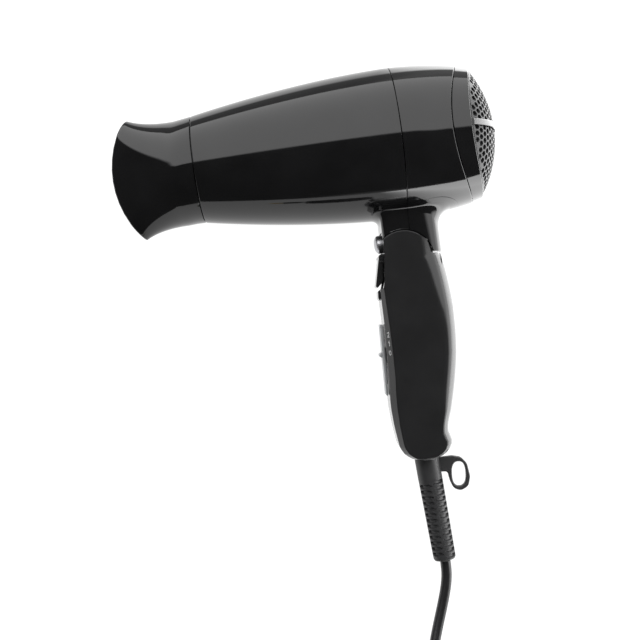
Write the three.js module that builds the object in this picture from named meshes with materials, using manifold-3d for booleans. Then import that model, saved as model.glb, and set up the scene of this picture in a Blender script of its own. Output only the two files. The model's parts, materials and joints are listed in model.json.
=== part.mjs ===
// A folding travel hair dryer with a concentrator nozzle, lying on its right side.
//
// The dryer is built in its own frame, in millimetres: x runs along the barrel, from the nozzle
// (-x) to the intake grille (+x), y runs up from the handle to the barrel, and z points out of the
// left side. The barrel's axis is y = 0, z = 0, and the handle folds about a pin along z. The whole
// dryer is then rolled about x, so that the barrel and the end of the handle both rest on the
// table. The cord, its coil and its plug lie on the table.
import * as THREE from "three";
import { mergeVertices } from "three/addons/utils/BufferGeometryUtils.js";
import Module from "manifold-3d";

const wasm = await Module();
wasm.setup();

// ------------------------------------------------------- driving dimensions

const GAP = 0.3; // clearance between neighbouring pieces
const ROLL = 8.4; // degrees, the dryer's roll as it lies on its side

const BARREL_RADIUS = 38.8; // widest radius of the motor housing
const WIDEST_X = 5; // where it is widest
const BARREL_FRONT = -98;
const SEAM_X = 4.5; // joint between the front shell and the rear housing
const HOUSING_REAR = 39.4;
const RING_REAR = 45.1;
const BARREL_WALL = 2.4;
const MOUTH_RADIUS = 26; // bore that takes the nozzle
const MOUTH_DEPTH = 14;

const NOZZLE_TIP = -142.3;
const NOZZLE_EDGE_RADIUS = 50; // curve of the nozzle's front edge, seen from the side
const NOZZLE_WALL = 1.7;

const DOME_APEX = 55.8;
const DOME_RADIUS = 57;
const SIDE_BOW = 9.5; // how far the housing's rear edge is cut forward at the sides
const RIM_BOW = 6.2; // the same at the rim of the grille

const PIVOT = { x: 0, y: -61.2 }; // fold pin
const HEAD_RADIUS = 15.3; // round top of the handle
const SADDLE_RADIUS = HEAD_RADIUS + GAP;
const SLOT_RADIUS = 19.8; // room for the knuckle and the latch between the handle's cheeks
const HALF_WIDTH = 15.5; // of the neck and of the handle
const CHEEK_INNER = 10.4; // inner face of each cheek
const KNUCKLE_HALF = 8.6;
const NECK_FRONT = -9.3;
const NECK_REAR = 20.3;
const NECK_END = -58.6;

const HANDLE_WALL = 2.6;
const HANDLE_END = -163.2;
const BUTTON_Y = -50.75;
const LATCH_PIN = { x: -10.8, y: -58.4 };

const RELIEF_TOP = { x: -0.6, y: HANDLE_END - 0.7 };
const RELIEF_LENGTH = 53.5;
const RELIEF_LEAN = 2.8; // degrees
const RELIEF_RADIUS = 6.3;

const CORD_DIAMETER = 5.5;
const COIL_RADII = [28.5, 34]; // the two rings of turns
const COIL_LAYERS = 4;

// ------------------------------------------------------- solids and shapes

function facingOut(geometry) {
  const plain = geometry.index ? geometry.toNonIndexed() : geometry.clone();
  plain.deleteAttribute("normal");
  plain.deleteAttribute("uv");
  const merged = mergeVertices(plain, 1e-4);
  const at = merged.attributes.position;
  const index = merged.index.array;
  const corners = [new THREE.Vector3(), new THREE.Vector3(), new THREE.Vector3()];
  let volume = 0;
  for (let i = 0; i < index.length; i += 3) {
    corners.forEach((corner, k) => corner.fromBufferAttribute(at, index[i + k]));
    volume += corners[0].dot(corners[1].clone().cross(corners[2]));
  }
  const insideOut = volume < 0;
  for (let i = 0; insideOut && i < index.length; i += 3) {
    [index[i + 1], index[i + 2]] = [index[i + 2], index[i + 1]];
  }
  return merged;
}

function toSolid(geometry) {
  const closed = facingOut(geometry);
  return new wasm.Manifold(
    new wasm.Mesh({
      numProp: 3,
      vertProperties: closed.attributes.position.array,
      triVerts: new Uint32Array(closed.index.array),
    }),
  );
}

function toGeometry(solid) {
  const mesh = solid.getMesh();
  const geometry = new THREE.BufferGeometry();
  geometry.setAttribute("position", new THREE.BufferAttribute(mesh.vertProperties, 3));
  geometry.setIndex(new THREE.BufferAttribute(mesh.triVerts, 1));
  return geometry;
}

const join = (...parts) => toGeometry(parts.map(toSolid).reduce((sum, part) => sum.add(part)));
const cut = (body, ...tools) =>
  toGeometry(tools.map(toSolid).reduce((rest, tool) => rest.subtract(tool), toSolid(body)));
const common = (a, b) => toGeometry(toSolid(a).intersect(toSolid(b)));

// A profile of [x, radius] points turned about the x axis. It closes on itself or ends on the axis.
function revolve(profile, segments = 40) {
  const onAxis = profile.every(([, r], i) => r > 0 || i === 0 || i === profile.length - 1);
  const closed = onAxis && profile[0][1] === 0 ? profile : [...profile, profile[0]];
  const points = closed.map(([x, r]) => new THREE.Vector2(r, x));
  return new THREE.LatheGeometry(points, segments).rotateZ(-Math.PI / 2);
}

function rodX(radius, from, to, y = 0, z = 0, segments = 16) {
  return new THREE.CylinderGeometry(radius, radius, to - from, segments)
    .rotateZ(-Math.PI / 2)
    .translate((from + to) / 2, y, z);
}

function rodZ(radius, from, to, x = 0, y = 0, segments = 16) {
  return new THREE.CylinderGeometry(radius, radius, to - from, segments)
    .rotateX(Math.PI / 2)
    .translate(x, y, (from + to) / 2);
}

function block(x0, x1, y0, y1, z0, z1) {
  return new THREE.BoxGeometry(x1 - x0, y1 - y0, z1 - z0).translate(
    (x0 + x1) / 2,
    (y0 + y1) / 2,
    (z0 + z1) / 2,
  );
}

// A side outline of [x, y] points, extruded along z, with an optional rounded edge.
function prism(outline, halfWidth, round = 0, hole = null) {
  const shape = new THREE.Shape(outline.map(([x, y]) => new THREE.Vector2(x, y)));
  if (hole) shape.holes.push(new THREE.Path(hole.map(([x, y]) => new THREE.Vector2(x, y))));
  const depth = 2 * (halfWidth - round);
  return new THREE.ExtrudeGeometry(shape, {
    depth,
    bevelEnabled: round > 0,
    bevelThickness: round,
    bevelSize: round,
    bevelOffset: -round,
    bevelSegments: 2,
  }).translate(0, 0, -depth / 2);
}

function tube(points, radius, sides, steps) {
  const section = new THREE.Shape();
  for (let i = 0; i < sides; i += 1) {
    const angle = (2 * Math.PI * i) / sides;
    section[i ? "lineTo" : "moveTo"](radius * Math.cos(angle), radius * Math.sin(angle));
  }
  const path = points instanceof THREE.Curve ? points : new THREE.CatmullRomCurve3(points);
  return new THREE.ExtrudeGeometry(section, { extrudePath: path, steps, bevelEnabled: false });
}

class Helix extends THREE.Curve {
  constructor(radius, from, to, turns) {
    super();
    Object.assign(this, { radius, from, to, turns });
  }

  getPoint(t, target = new THREE.Vector3()) {
    const angle = 2 * Math.PI * this.turns * t;
    const x = THREE.MathUtils.lerp(this.from, this.to, t);
    return target.set(x, this.radius * Math.cos(angle), this.radius * Math.sin(angle));
  }
}

const arc = (centre, radius, fromDegrees, toDegrees, steps) =>
  Array.from({ length: steps + 1 }, (_, i) => {
    const angle = THREE.MathUtils.degToRad(fromDegrees + ((toDegrees - fromDegrees) * i) / steps);
    return [centre.x + radius * Math.cos(angle), centre.y + radius * Math.sin(angle)];
  });

const spread = (from, to, steps) =>
  Array.from({ length: steps + 1 }, (_, i) => from + ((to - from) * i) / steps);

function barrelRadius(x) {
  if (x < WIDEST_X) return BARREL_RADIUS - 0.00373 * (WIDEST_X - x) ** 1.726;
  return BARREL_RADIUS - 0.00104 * (x - WIDEST_X) ** 2.2;
}

// The rear of the housing, its ring and the grille are cut forward at both sides.
function bowed(geometry) {
  const at = geometry.attributes.position;
  for (let i = 0; i < at.count; i += 1) {
    const x = at.getX(i);
    const rise = THREE.MathUtils.smoothstep(x, SEAM_X + GAP, HOUSING_REAR);
    const rim = THREE.MathUtils.clamp((x - HOUSING_REAR) / (RING_REAR - HOUSING_REAR), 0, 1);
    const bow = rise * THREE.MathUtils.lerp(SIDE_BOW, RIM_BOW, rim);
    at.setX(i, x - bow * (at.getZ(i) / 36) ** 2);
  }
  return geometry;
}

// ------------------------------------------------------- materials

const finish = (color, roughness, metalness = 0) =>
  new THREE.MeshStandardMaterial({ color, roughness, metalness });
const glossBlack = finish(0x141414, 0.15);
const satinBlack = finish(0x222222, 0.4);
const rubber = finish(0x2c2c2c, 0.75);
const chrome = finish(0xd8d8d8, 0.1, 1);
const silver = finish(0xb4b6b8, 0.35, 0.6);
const steel = finish(0xa9adb0, 0.35, 1);
const brass = finish(0xb89a4a, 0.35, 1);
const mica = finish(0xc7b58e, 0.6);
const nichrome = finish(0x8d8780, 0.4, 1);
const darkPlastic = finish(0x2e2f31, 0.6);
const palePlastic = finish(0xd9d5c8, 0.55);

const dryer = new THREE.Group();
dryer.name = "dryer";

function piece(name, geometry, material, parent = dryer) {
  const closed = facingOut(geometry);
  closed.computeVertexNormals();
  const mesh = new THREE.Mesh(closed, material);
  mesh.name = name;
  parent.add(mesh);
  return mesh;
}

// ------------------------------------------------------- barrel shells

const neckOutline = [
  [-16, -33],
  [-14.2, -38.1],
  [-11.6, -39],
  [-9.9, -40.8],
  [NECK_FRONT, -43.5],
  [NECK_FRONT, NECK_END],
  [NECK_REAR, NECK_END],
  [NECK_REAR, -50.5],
  [21.4, -46.2],
  [23.2, -42.4],
  [26.8, -39.2],
  [31, -37.6],
  [33, -33],
];

function neck() {
  const saddle = rodZ(SADDLE_RADIUS, -20, 20, PIVOT.x, PIVOT.y, 48);
  return cut(prism(neckOutline, HALF_WIDTH, 1.5), saddle);
}

function neckCavity() {
  const wall = 2.2;
  const room = block(NECK_FRONT + wall, NECK_REAR - wall, -56, -30, -11.8, 11.8);
  return cut(room, rodZ(SADDLE_RADIUS + wall, -20, 20, PIVOT.x, PIVOT.y, 48));
}

// Where the knuckle passes through the saddle into the neck.
function knuckleOpening() {
  const half = KNUCKLE_HALF + GAP;
  return join(
    block(-11, -6.4, -50, -45.3, -half, half),
    block(-6.5, 9.3, -50, -42.5, -half, half),
  );
}

function barrelSolid(from, to, wall, steps) {
  const line = spread(from, to, steps).map((x) => [x, barrelRadius(x) - wall]);
  return revolve([[from, 0], ...line, [to, 0]], 32);
}

function frontBarrelShell() {
  const outer = barrelSolid(BARREL_FRONT, SEAM_X, 0, 8);
  const room = barrelSolid(BARREL_FRONT + MOUTH_DEPTH, SEAM_X + 1, BARREL_WALL, 4);
  const mouth = revolve([
    [BARREL_FRONT - 1, 0],
    [BARREL_FRONT - 1, MOUTH_RADIUS],
    [BARREL_FRONT + MOUTH_DEPTH + 1, MOUTH_RADIUS],
    [BARREL_FRONT + MOUTH_DEPTH + 1, 0],
  ]);
  const front = block(-60, SEAM_X, -70, 0, -20, 20);
  const shell = join(outer, common(neck(), front));
  return cut(shell, room, mouth, neckCavity(), knuckleOpening());
}

function rearHousing() {
  const from = SEAM_X + GAP;
  const outer = bowed(barrelSolid(from, HOUSING_REAR, 0, 5));
  const room = bowed(barrelSolid(from - 1, HOUSING_REAR + 1, BARREL_WALL, 4));
  const rear = block(from, 60, -70, 0, -20, 20);
  const shell = join(outer, common(neck(), rear));
  return cut(shell, room, neckCavity(), knuckleOpening());
}

piece("front_barrel_shell", frontBarrelShell(), glossBlack);
piece("rear_housing", rearHousing(), glossBlack);

// ------------------------------------------------------- nozzle

function nozzleEdge(y) {
  const sag = NOZZLE_EDGE_RADIUS - Math.sqrt(NOZZLE_EDGE_RADIUS ** 2 - y * y);
  return NOZZLE_TIP + sag;
}

// One skin of the nozzle: rings of points from the barrel, t = 0, to the slot, t = 1. Each ring has
// a round end above and below, and flat sides between them.
const END_STEPS = 10;
const FLAT_STEPS = 4;
const RING_POINTS = 2 * (END_STEPS + FLAT_STEPS);

function nozzleRing(t, inset) {
  const rear = BARREL_FRONT - 0.4;
  const fromBarrel = 33 * t;
  const flare = 0.0081 * (10 - fromBarrel) ** 2 * (fromBarrel > 10 ? 1 : 0.6);
  const height = 27.1 + flare;
  const pinch = (t < 0.35 ? t * t / 0.7 : t - 0.175) / 0.825; // eases in, then straight to the slot
  const width = THREE.MathUtils.lerp(27.3, 7.6, pinch);
  const end = Math.min(height - 0.3, 1.12 * width);
  const flat = height - end;
  const centre = (-0.6 - 0.8 * t) * Math.min(1, 4 * t);
  const round = spread(0, Math.PI, END_STEPS).map((angle) => [
    flat + (end - inset) * Math.sin(angle),
    (width - inset) * Math.cos(angle),
  ]);
  const side = spread(flat, -flat, FLAT_STEPS).slice(1, -1).map((y) => [y, inset - width]);
  const half = [...round, ...side];
  const whole = [...half, ...half.map(([y, z]) => [-y, -z])];
  return whole.map(([up, z]) => {
    const y = centre + up;
    return new THREE.Vector3(THREE.MathUtils.lerp(rear, nozzleEdge(y), t), y, z);
  });
}

function nozzleSkin() {
  const count = RING_POINTS;
  const stations = [0, 0.2, 0.45, 0.7, 1];
  const outer = stations.map((t) => nozzleRing(t, 0));
  const inner = stations.map((t) => nozzleRing(t, NOZZLE_WALL)).reverse();
  const rings = [...outer, ...inner];
  const index = [];
  rings.forEach((_, i) => {
    const next = (i + 1) % rings.length;
    for (let k = 0; k < count; k += 1) {
      const after = (k + 1) % count;
      index.push(i * count + k, next * count + k, i * count + after);
      index.push(i * count + after, next * count + k, next * count + after);
    }
  });
  const geometry = new THREE.BufferGeometry().setFromPoints(rings.flat());
  geometry.setIndex(index);
  return geometry;
}

function nozzle() {
  const rear = BARREL_FRONT - 0.4;
  const spigot = revolve([
    [rear - 1.6, 22.4],
    [rear - 1.6, 26.4],
    [rear, 26.4],
    [rear, 24],
    [rear + 8.4, 24],
    [rear + 8.4, 22.4],
  ]);
  return join(nozzleSkin(), spigot);
}

const snapRing = revolve([
  [BARREL_FRONT + 0.2, 24.3],
  [BARREL_FRONT + 0.2, 25.7],
  [BARREL_FRONT + 9, 25.7],
  [BARREL_FRONT + 9, 24.3],
]);

piece("nozzle_concentrator", nozzle(), glossBlack);
piece("nozzle_snap_ring", snapRing, darkPlastic);

// ------------------------------------------------------- rear cap and grille

const domeAt = (r) => DOME_APEX - DOME_RADIUS + Math.sqrt(DOME_RADIUS ** 2 - r * r);

function filterCap() {
  return bowed(
    revolve(
      [
        [HOUSING_REAR + 0.4, 35.7],
        [44.2, 34.7],
        [RING_REAR, 33.8],
        [RING_REAR, 32.2],
        [31.5, 31.4],
        [31.5, 33],
        [HOUSING_REAR + 0.4, 33.2],
      ],
      36,
    ),
  );
}

// A disc with hexagonal holes, bent over the dome, on a short skirt.
function intakeGrille() {
  const radius = 30.6;
  const pitch = 11.4;
  const hole = 4.9;
  const disc = new THREE.Shape();
  disc.absarc(0, 0, radius, 0, 2 * Math.PI);
  for (let row = -3; row <= 3; row += 1) {
    for (let column = -4; column <= 4; column += 1) {
      const y = (column + (row % 2 ? 0.5 : 0)) * pitch;
      const z = row * pitch * Math.sqrt(0.75);
      if (Math.hypot(y, z) + hole > radius - 1.5) continue;
      const corners = spread(0, 5, 5).map((k) => {
        const angle = ((k + 0.5) * Math.PI) / 3;
        return new THREE.Vector2(y + hole * Math.cos(angle), z + hole * Math.sin(angle));
      });
      disc.holes.push(new THREE.Path(corners));
    }
  }
  const flat = new THREE.ExtrudeGeometry(disc, {
    depth: 1.6,
    bevelEnabled: false,
    curveSegments: 16,
  });
  const at = flat.attributes.position;
  for (let i = 0; i < at.count; i += 1) {
    const [y, z, depth] = [at.getX(i), at.getY(i), at.getZ(i)];
    at.setXYZ(i, domeAt(Math.hypot(y, z)) - 1.6 + depth, y, z);
  }
  const skirt = revolve(
    [
      [domeAt(30) - 5, 30.2],
      [domeAt(30) - 5, 31.8],
      [domeAt(31.8), 31.8],
      [domeAt(30.2), 30.2],
    ],
    32,
  );
  return bowed(join(skirt, flat));
}

// A flat bar across the middle of the dome, from side to side.
function grilleBand() {
  const reach = 30;
  const [low, high] = [-0.8, 2.2];
  const at = (z, lift) => {
    const bow = RIM_BOW * (z / 36) ** 2;
    return [domeAt(Math.hypot(z, high)) - bow + lift, z];
  };
  const line = spread(-reach, reach, 16);
  const outline = [
    ...line.map((z) => at(z, 1.24)),
    ...line.reverse().map((z) => at(z, GAP)),
  ];
  const shape = new THREE.Shape(outline.map(([x, z]) => new THREE.Vector2(x, z)));
  return new THREE.ExtrudeGeometry(shape, { depth: high - low, bevelEnabled: false })
    .rotateX(Math.PI / 2)
    .translate(0, high, 0);
}

const filterScreen = bowed(
  revolve(
    [
      [35, 0],
      [35, 16],
      [35, 30.9],
      [35.8, 30.9],
      [35.8, 16],
      [35.8, 0],
    ],
    32,
  ),
);

piece("rear_filter_cap", filterCap(), glossBlack);
piece("intake_grille", intakeGrille(), darkPlastic);
piece("grille_band", grilleBand(), darkPlastic);
piece("filter_screen", filterScreen, steel);

// ------------------------------------------------------- heater

const COIL_RADIUS = 19.6;
const coilRuns = [
  ["heating_coil_front", -78, -56],
  ["heating_coil_rear", -52, -30],
];
const COIL_TURNS = 6;
const COIL_STEPS = 8 * COIL_TURNS;

function outletGrille() {
  const from = BARREL_FRONT + 11.2;
  const ring = (inner, outer) =>
    revolve(
      [
        [from, inner],
        [from, outer],
        [from + 2, outer],
        [from + 2, inner],
      ],
      24,
    );
  const bars = [0, 60, 120].map((angle) =>
    block(from + 0.2, from + 1.8, -24.5, 24.5, -0.7, 0.7).rotateX(THREE.MathUtils.degToRad(angle)),
  );
  return join(ring(23.6, 25.6), ring(11, 12.4), ...bars);
}

function micaCross() {
  const half = 21.5;
  const thin = 0.5;
  const outline = [
    [-82, 0],
    [-82, half],
    ...coilRuns.flatMap(([, from, to]) => [
      [from - 1, half],
      [from - 1, COIL_RADIUS - 2.4],
      [to + 1, COIL_RADIUS - 2.4],
      [to + 1, half],
    ]),
    [-27.4, half],
    [-27.4, 0],
  ];
  const board = prism([...outline, ...outline.map(([x, y]) => [x, -y]).reverse()], thin);
  return join(board, board.clone().rotateX(Math.PI / 2));
}

const micaSleeve = revolve([
  [-82, 23.4],
  [-82, 24.2],
  [-24, 24.2],
  [-24, 23.4],
]);
const airBaffle = revolve([
  [-23.6, 22.6],
  [-23.6, 34.2],
  [-21.8, 34.2],
  [-21.8, 22.6],
]);

piece("outlet_grille", outletGrille(), darkPlastic);
piece("mica_sleeve", micaSleeve, mica);
piece("mica_cross", micaCross(), mica);
piece("air_baffle", airBaffle, darkPlastic);
coilRuns.forEach(([name, from, to]) => {
  piece(name, tube(new Helix(COIL_RADIUS, from, to, COIL_TURNS), 0.6, 4, COIL_STEPS), nichrome);
});
piece("thermostat", block(-66, -58, 6, 9, 5, 13), steel);
piece("thermal_fuse", rodX(1.6, -62, -50, -8, 9, 12), palePlastic);

// ------------------------------------------------------- motor and fan

function motorMount() {
  const sleeve = (from, to, inner, outer) =>
    revolve(
      [
        [from, inner],
        [from, outer],
        [to, outer],
        [to, inner],
      ],
      24,
    );
  const vanes = spread(0, 4, 4).map((k) =>
    block(-15, -7, 15, 33.6, -0.8, 0.8).rotateX((2 * Math.PI * (k + 0.25)) / 5),
  );
  return join(sleeve(-16, -6, 33, 34.6), sleeve(-16, 2, 14.2, 15.8), ...vanes);
}

const motorCan = revolve(
  [
    [-14, 1.4],
    [-14, 13],
    [-13, 13.8],
    [9, 13.8],
    [10, 13],
    [10, 5],
    [11.5, 5],
    [11.5, 1.4],
  ],
  20,
);

function fanRotor() {
  const hub = revolve(
    [
      [13, 1.3],
      [13, 9],
      [20, 8],
      [23, 5],
      [23, 1.3],
    ],
    24,
  );
  const blades = spread(0, 5, 5).map((k) =>
    new THREE.BoxGeometry(11, 21.5, 1.2)
      .rotateY(THREE.MathUtils.degToRad(38))
      .translate(17.8, 18, 0)
      .rotateX((2 * Math.PI * k) / 6),
  );
  return join(hub, ...blades);
}

function rectifierBoard() {
  const diodes = [-6, -2, 2, 6].map((y) => block(-21.6, -19.2, y - 1.2, y + 1.2, -3, 3));
  return join(rodX(12, -19.4, -18.2, 0, 0, 24), ...diodes);
}

piece("motor_mount", motorMount(), palePlastic);
piece("motor_can", motorCan, steel);
piece("rectifier_board", rectifierBoard(), brass);
piece("motor_shaft", rodX(1, -13, 22.5, 0, 0, 12), steel);
piece("fan_rotor", fanRotor(), darkPlastic);

// ------------------------------------------------------- hinge, latch and cool-shot button

function hingeKnuckle() {
  const half = KNUCKLE_HALF;
  const ears = [-1, 1].map((side) => {
    const z = side * (half - 0.5);
    return block(-12.4, -8, -60.6, -56.2, z - 0.5, z + 0.5);
  });
  const body = cut(
    join(
      rodZ(12.2, -half, half, PIVOT.x, PIVOT.y, 40),
      block(NECK_FRONT, 9, -58, -45.6, -half, half),
      block(-6.1, 9, -47.5, -41, -half, half),
      block(-6.1, 13, -42.6, -40.4, -11.4, 11.4),
    ),
    block(-15, -8.7, -75, -56.4, -10, 10),
    block(-15, NECK_FRONT, -57, -40, -10, 10),
  );
  return cut(
    join(body, ...ears),
    rodZ(2.8, -10, 10, PIVOT.x, PIVOT.y, 20),
    rodX(4.1, -10, -3.2, BUTTON_Y, 0, 20),
    rodX(5, -10, -7.3, BUTTON_Y, 0, 24),
    block(-3.3, 5, -54.2, -47.3, -3.6, 3.6),
    rodZ(1.2, -10, 10, LATCH_PIN.x, LATCH_PIN.y, 12),
  );
}

function coolShotButton() {
  const cap = revolve(
    [
      [-13.3, 0],
      [-13.2, 1.6],
      [-12.7, 3.2],
      [-11.8, 4.3],
      [-10.8, 4.65],
      [-9.2, 4.65],
      [-9.2, 3.8],
      [-5.2, 3.8],
      [-5.2, 3.1],
      [-8.9, 3.1],
      [-8.9, 0],
    ],
    24,
  );
  return cap.translate(0, BUTTON_Y, 0);
}

const latchOutline = [
  [-11.9, -56.2],
  [-15.6, -72.3],
  [-14.7, -73.1],
  [-11.6, -70.3],
  [-10.4, -61.8],
  [-9.2, -60.2],
  [-9.2, -57],
];

const leafOutline = [
  [-9, -62],
  [-9, -66],
  [-9.8, -69],
  [-9.4, -69.2],
  [-8.95, -66.2],
  [-8.85, -62],
];

const washer = (side) =>
  revolve(
    [
      [8.9, 3.2],
      [8.9, 7.5],
      [10.1, 7.5],
      [10.1, 3.2],
    ],
    24,
  )
    .rotateY((-side * Math.PI) / 2)
    .translate(PIVOT.x, PIVOT.y, 0);

piece("hinge_knuckle", hingeKnuckle(), darkPlastic);
piece("hinge_pin", rodZ(2.5, -13.2, 13.2, PIVOT.x, PIVOT.y, 20), steel);
piece("hinge_washer_left", washer(1), steel);
piece("hinge_washer_right", washer(-1), steel);
piece("cool_shot_button", coolShotButton(), chrome);
piece(
  "cool_shot_spring",
  tube(new Helix(2.5, -7.1, -3.5, 4), 0.25, 4, 32).translate(0, BUTTON_Y, 0),
  steel,
);
piece("cool_shot_microswitch", block(-3, 4.7, -53.9, -47.6, -3.3, 3.3), darkPlastic);
piece(
  "fold_latch",
  cut(prism(latchOutline, 7.2, 0.5), rodZ(1.2, -10, 10, LATCH_PIN.x, LATCH_PIN.y, 12)),
  satinBlack,
);
piece("latch_pin", rodZ(0.9, -8.5, 8.5, LATCH_PIN.x, LATCH_PIN.y, 12), steel);
piece("latch_leaf_spring", prism(leafOutline, 3), steel);

// ------------------------------------------------------- handle

const handleOutline = [
  ...arc(PIVOT, HEAD_RADIUS, 126, 18, 10),
  [15.6, -59.2],
  [20.2, -59],
  [21.6, -66.5],
  [22.8, -77],
  [23.4, -87],
  [23.1, -98.5],
  [22.1, -110.3],
  [20.2, -120.5],
  [17.8, -130.7],
  [15.3, -139.5],
  [12.9, -146],
  [12.3, -150.5],
  [13.7, -155.2],
  [11.7, -159.3],
  [7.7, -162],
  [3.2, HANDLE_END],
  [-3.4, HANDLE_END],
  [-8.6, -161.8],
  [-12.4, -158.8],
  [-14.4, -154.8],
  [-15.9, -142],
  [-16.3, -133.5],
  [-15.4, -121.1],
  [-14.5, -104],
  [-14, -90],
  [-14, -80.5],
  [-13, -77.2],
  [-11.4, -71.2],
  [-9.6, -56.5],
];

// The outline moved inwards by the wall's thickness.
function inset(outline, distance) {
  return outline.map(([x, y], i) => {
    const [ax, ay] = outline[(i + outline.length - 1) % outline.length];
    const [bx, by] = outline[(i + 1) % outline.length];
    const length = Math.hypot(bx - ax, by - ay);
    return [x + (distance * (by - ay)) / length, y - (distance * (bx - ax)) / length];
  });
}

const SCREWS = [
  ["handle_screw_upper", 9, -96],
  ["handle_screw_lower", 6.5, -134],
];

function handleRoom() {
  const below = block(-30, 30, -170, -83, -13, 13);
  const room = common(prism(inset(handleOutline, HANDLE_WALL), HALF_WIDTH - HANDLE_WALL), below);
  const bosses = SCREWS.map(([, x, y]) => rodZ(3.6, -20, 20, x, y));
  return cut(room, ...bosses);
}

function handleBody() {
  const reliefHole = new THREE.CylinderGeometry(6.4, 6.4, 12, 24)
    .rotateZ(THREE.MathUtils.degToRad(RELIEF_LEAN))
    .translate(RELIEF_TOP.x, RELIEF_TOP.y + 1, 0);
  const screwBores = SCREWS.flatMap(([, x, y]) => [
    rodZ(1.6, -14, 9, x, y),
    rodZ(3, -17, -12.9, x, y, 20),
  ]);
  return cut(
    prism(handleOutline, HALF_WIDTH, 3.5),
    handleRoom(),
    rodZ(SLOT_RADIUS, -CHEEK_INNER, CHEEK_INNER, PIVOT.x, PIVOT.y, 48),
    block(-6, 14, -90, -75, -CHEEK_INNER, CHEEK_INNER),
    rodZ(2.8, -13.6, 13.6, PIVOT.x, PIVOT.y, 20),
    block(-20, -10, -123, -92.5, -2.2, 2.2),
    reliefHole,
    ...screwBores,
  );
}

const handle = handleBody();
const strikeOutline = [
  [-14.8, -74.6],
  [-15.1, -78.3],
  [-14.6, -79.6],
  [-14.35, -79.6],
  [-13.5, -77.2],
  [-12.9, -76.3],
];

piece("handle_left_shell", common(handle, block(-40, 40, -180, -40, GAP / 2, 20)), satinBlack);
piece("handle_right_shell", common(handle, block(-40, 40, -180, -40, -20, -GAP / 2)), satinBlack);
piece("latch_strike", prism(strikeOutline, 7), satinBlack);

SCREWS.forEach(([name, x, y]) => {
  const screw = revolve(
    [
      [-15, 0],
      [-15, 2.6],
      [-13.2, 2.6],
      [-13.2, 1.3],
      [8.4, 1.3],
      [8.4, 0],
    ],
    16,
  );
  piece(name, screw.rotateY(-Math.PI / 2).translate(x, y, 0), steel);
});

// ------------------------------------------------------- switch

function sliderPlate() {
  const outline = [
    [-16.1, -92],
    [-16.7, -107],
    [-17.5, -128.6],
    [-16.6, -128.8],
    [-15.6, -110],
    [-14.6, -92],
  ];
  const ridge = rodZ(1.3, -5.2, 5.2, -17.1, -107.7);
  const stem = block(-16.2, -12.2, -112, -104, -1.8, 1.8);
  return join(prism(outline, 5.8, 0.4), ridge, stem);
}

piece("slider_plate", sliderPlate(), silver);
piece("switch_body", block(-11.3, -1.5, -125, -90, -7, 7), darkPlastic);
[-118, -108, -98].forEach((y, i) => {
  piece(`switch_terminal_${i + 1}`, block(-1.2, 4.4, y - 2, y + 2, -0.4, 0.4), brass);
});
piece("heat_diode", rodZ(2, -5, 5, 8.5, -108), darkPlastic);

const cordBore = new THREE.CylinderGeometry(3.6, 3.6, 12, 16).translate(0, -146, 0);
piece("cord_clamp", cut(block(-6, 7, -149, -143, -8, 8), cordBore), palePlastic);
[-1, 1].forEach((side) => {
  const route = [
    [0, -155.6, side * 1.6],
    [0, -146, side * 1.7],
    [-1, -138, side * 2.2],
    [-5, -132, side * 3.2],
    [-6, -125.4, side * 3.2],
  ].map((point) => new THREE.Vector3(...point));
  const [name, material] = side < 0 ? ["live_lead", darkPlastic] : ["neutral_lead", palePlastic];
  piece(name, tube(route, 1.1, 6, 12), material);
});

// ------------------------------------------------------- strain relief with its hanging loop

function strainRelief() {
  const tip = HANDLE_END - GAP - RELIEF_LENGTH;
  const sleeve = revolve(
    [
      [tip, 0],
      [tip, 5.5],
      [tip + 1, 5.8],
      [HANDLE_END - 11, RELIEF_RADIUS],
      [RELIEF_TOP.y, RELIEF_RADIUS],
      [RELIEF_TOP.y, 6],
      [-158.4, 6],
      [-158.4, 7.2],
      [-156.4, 7.2],
      [-156.4, 0],
    ],
    24,
  )
    .rotateZ(Math.PI / 2)
    .translate(0, -RELIEF_TOP.y, 0)
    .rotateZ(THREE.MathUtils.degToRad(RELIEF_LEAN))
    .translate(RELIEF_TOP.x, RELIEF_TOP.y, 0);
  const outside = [
    [3, -164],
    [12.5, -164.2],
    [17, -166],
    [19.7, -170],
    [20.4, -176],
    [18.9, -180.6],
    [15.2, -182.8],
    [11.5, -181],
    [9.7, -177],
    [8, -172.4],
    [3, -171],
  ];
  const lean = THREE.MathUtils.degToRad(14);
  const hole = spread(0, 15, 15).map((k) => {
    const angle = (2 * Math.PI * k) / 16;
    const across = 3.2 * Math.cos(angle);
    const along = 6.2 * Math.sin(angle);
    return [
      15 + across * Math.cos(lean) - along * Math.sin(lean),
      -173.8 + across * Math.sin(lean) + along * Math.cos(lean),
    ];
  });
  return join(sleeve, prism(outside, 1.9, 0, hole));
}

piece("strain_relief", strainRelief(), rubber);

// ------------------------------------------------------- the dryer laid on the table

dryer.rotation.x = THREE.MathUtils.degToRad(ROLL);
dryer.updateMatrixWorld(true);
const extent = new THREE.Box3().setFromObject(dryer, true);
const middle = extent.getCenter(new THREE.Vector3());
dryer.position.set(-middle.x, -middle.y, -extent.min.z);
dryer.updateMatrixWorld(true);

// ------------------------------------------------------- cord, coil, tie and plug, on the table

const cordage = new THREE.Group();
cordage.name = "cordage";

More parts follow.
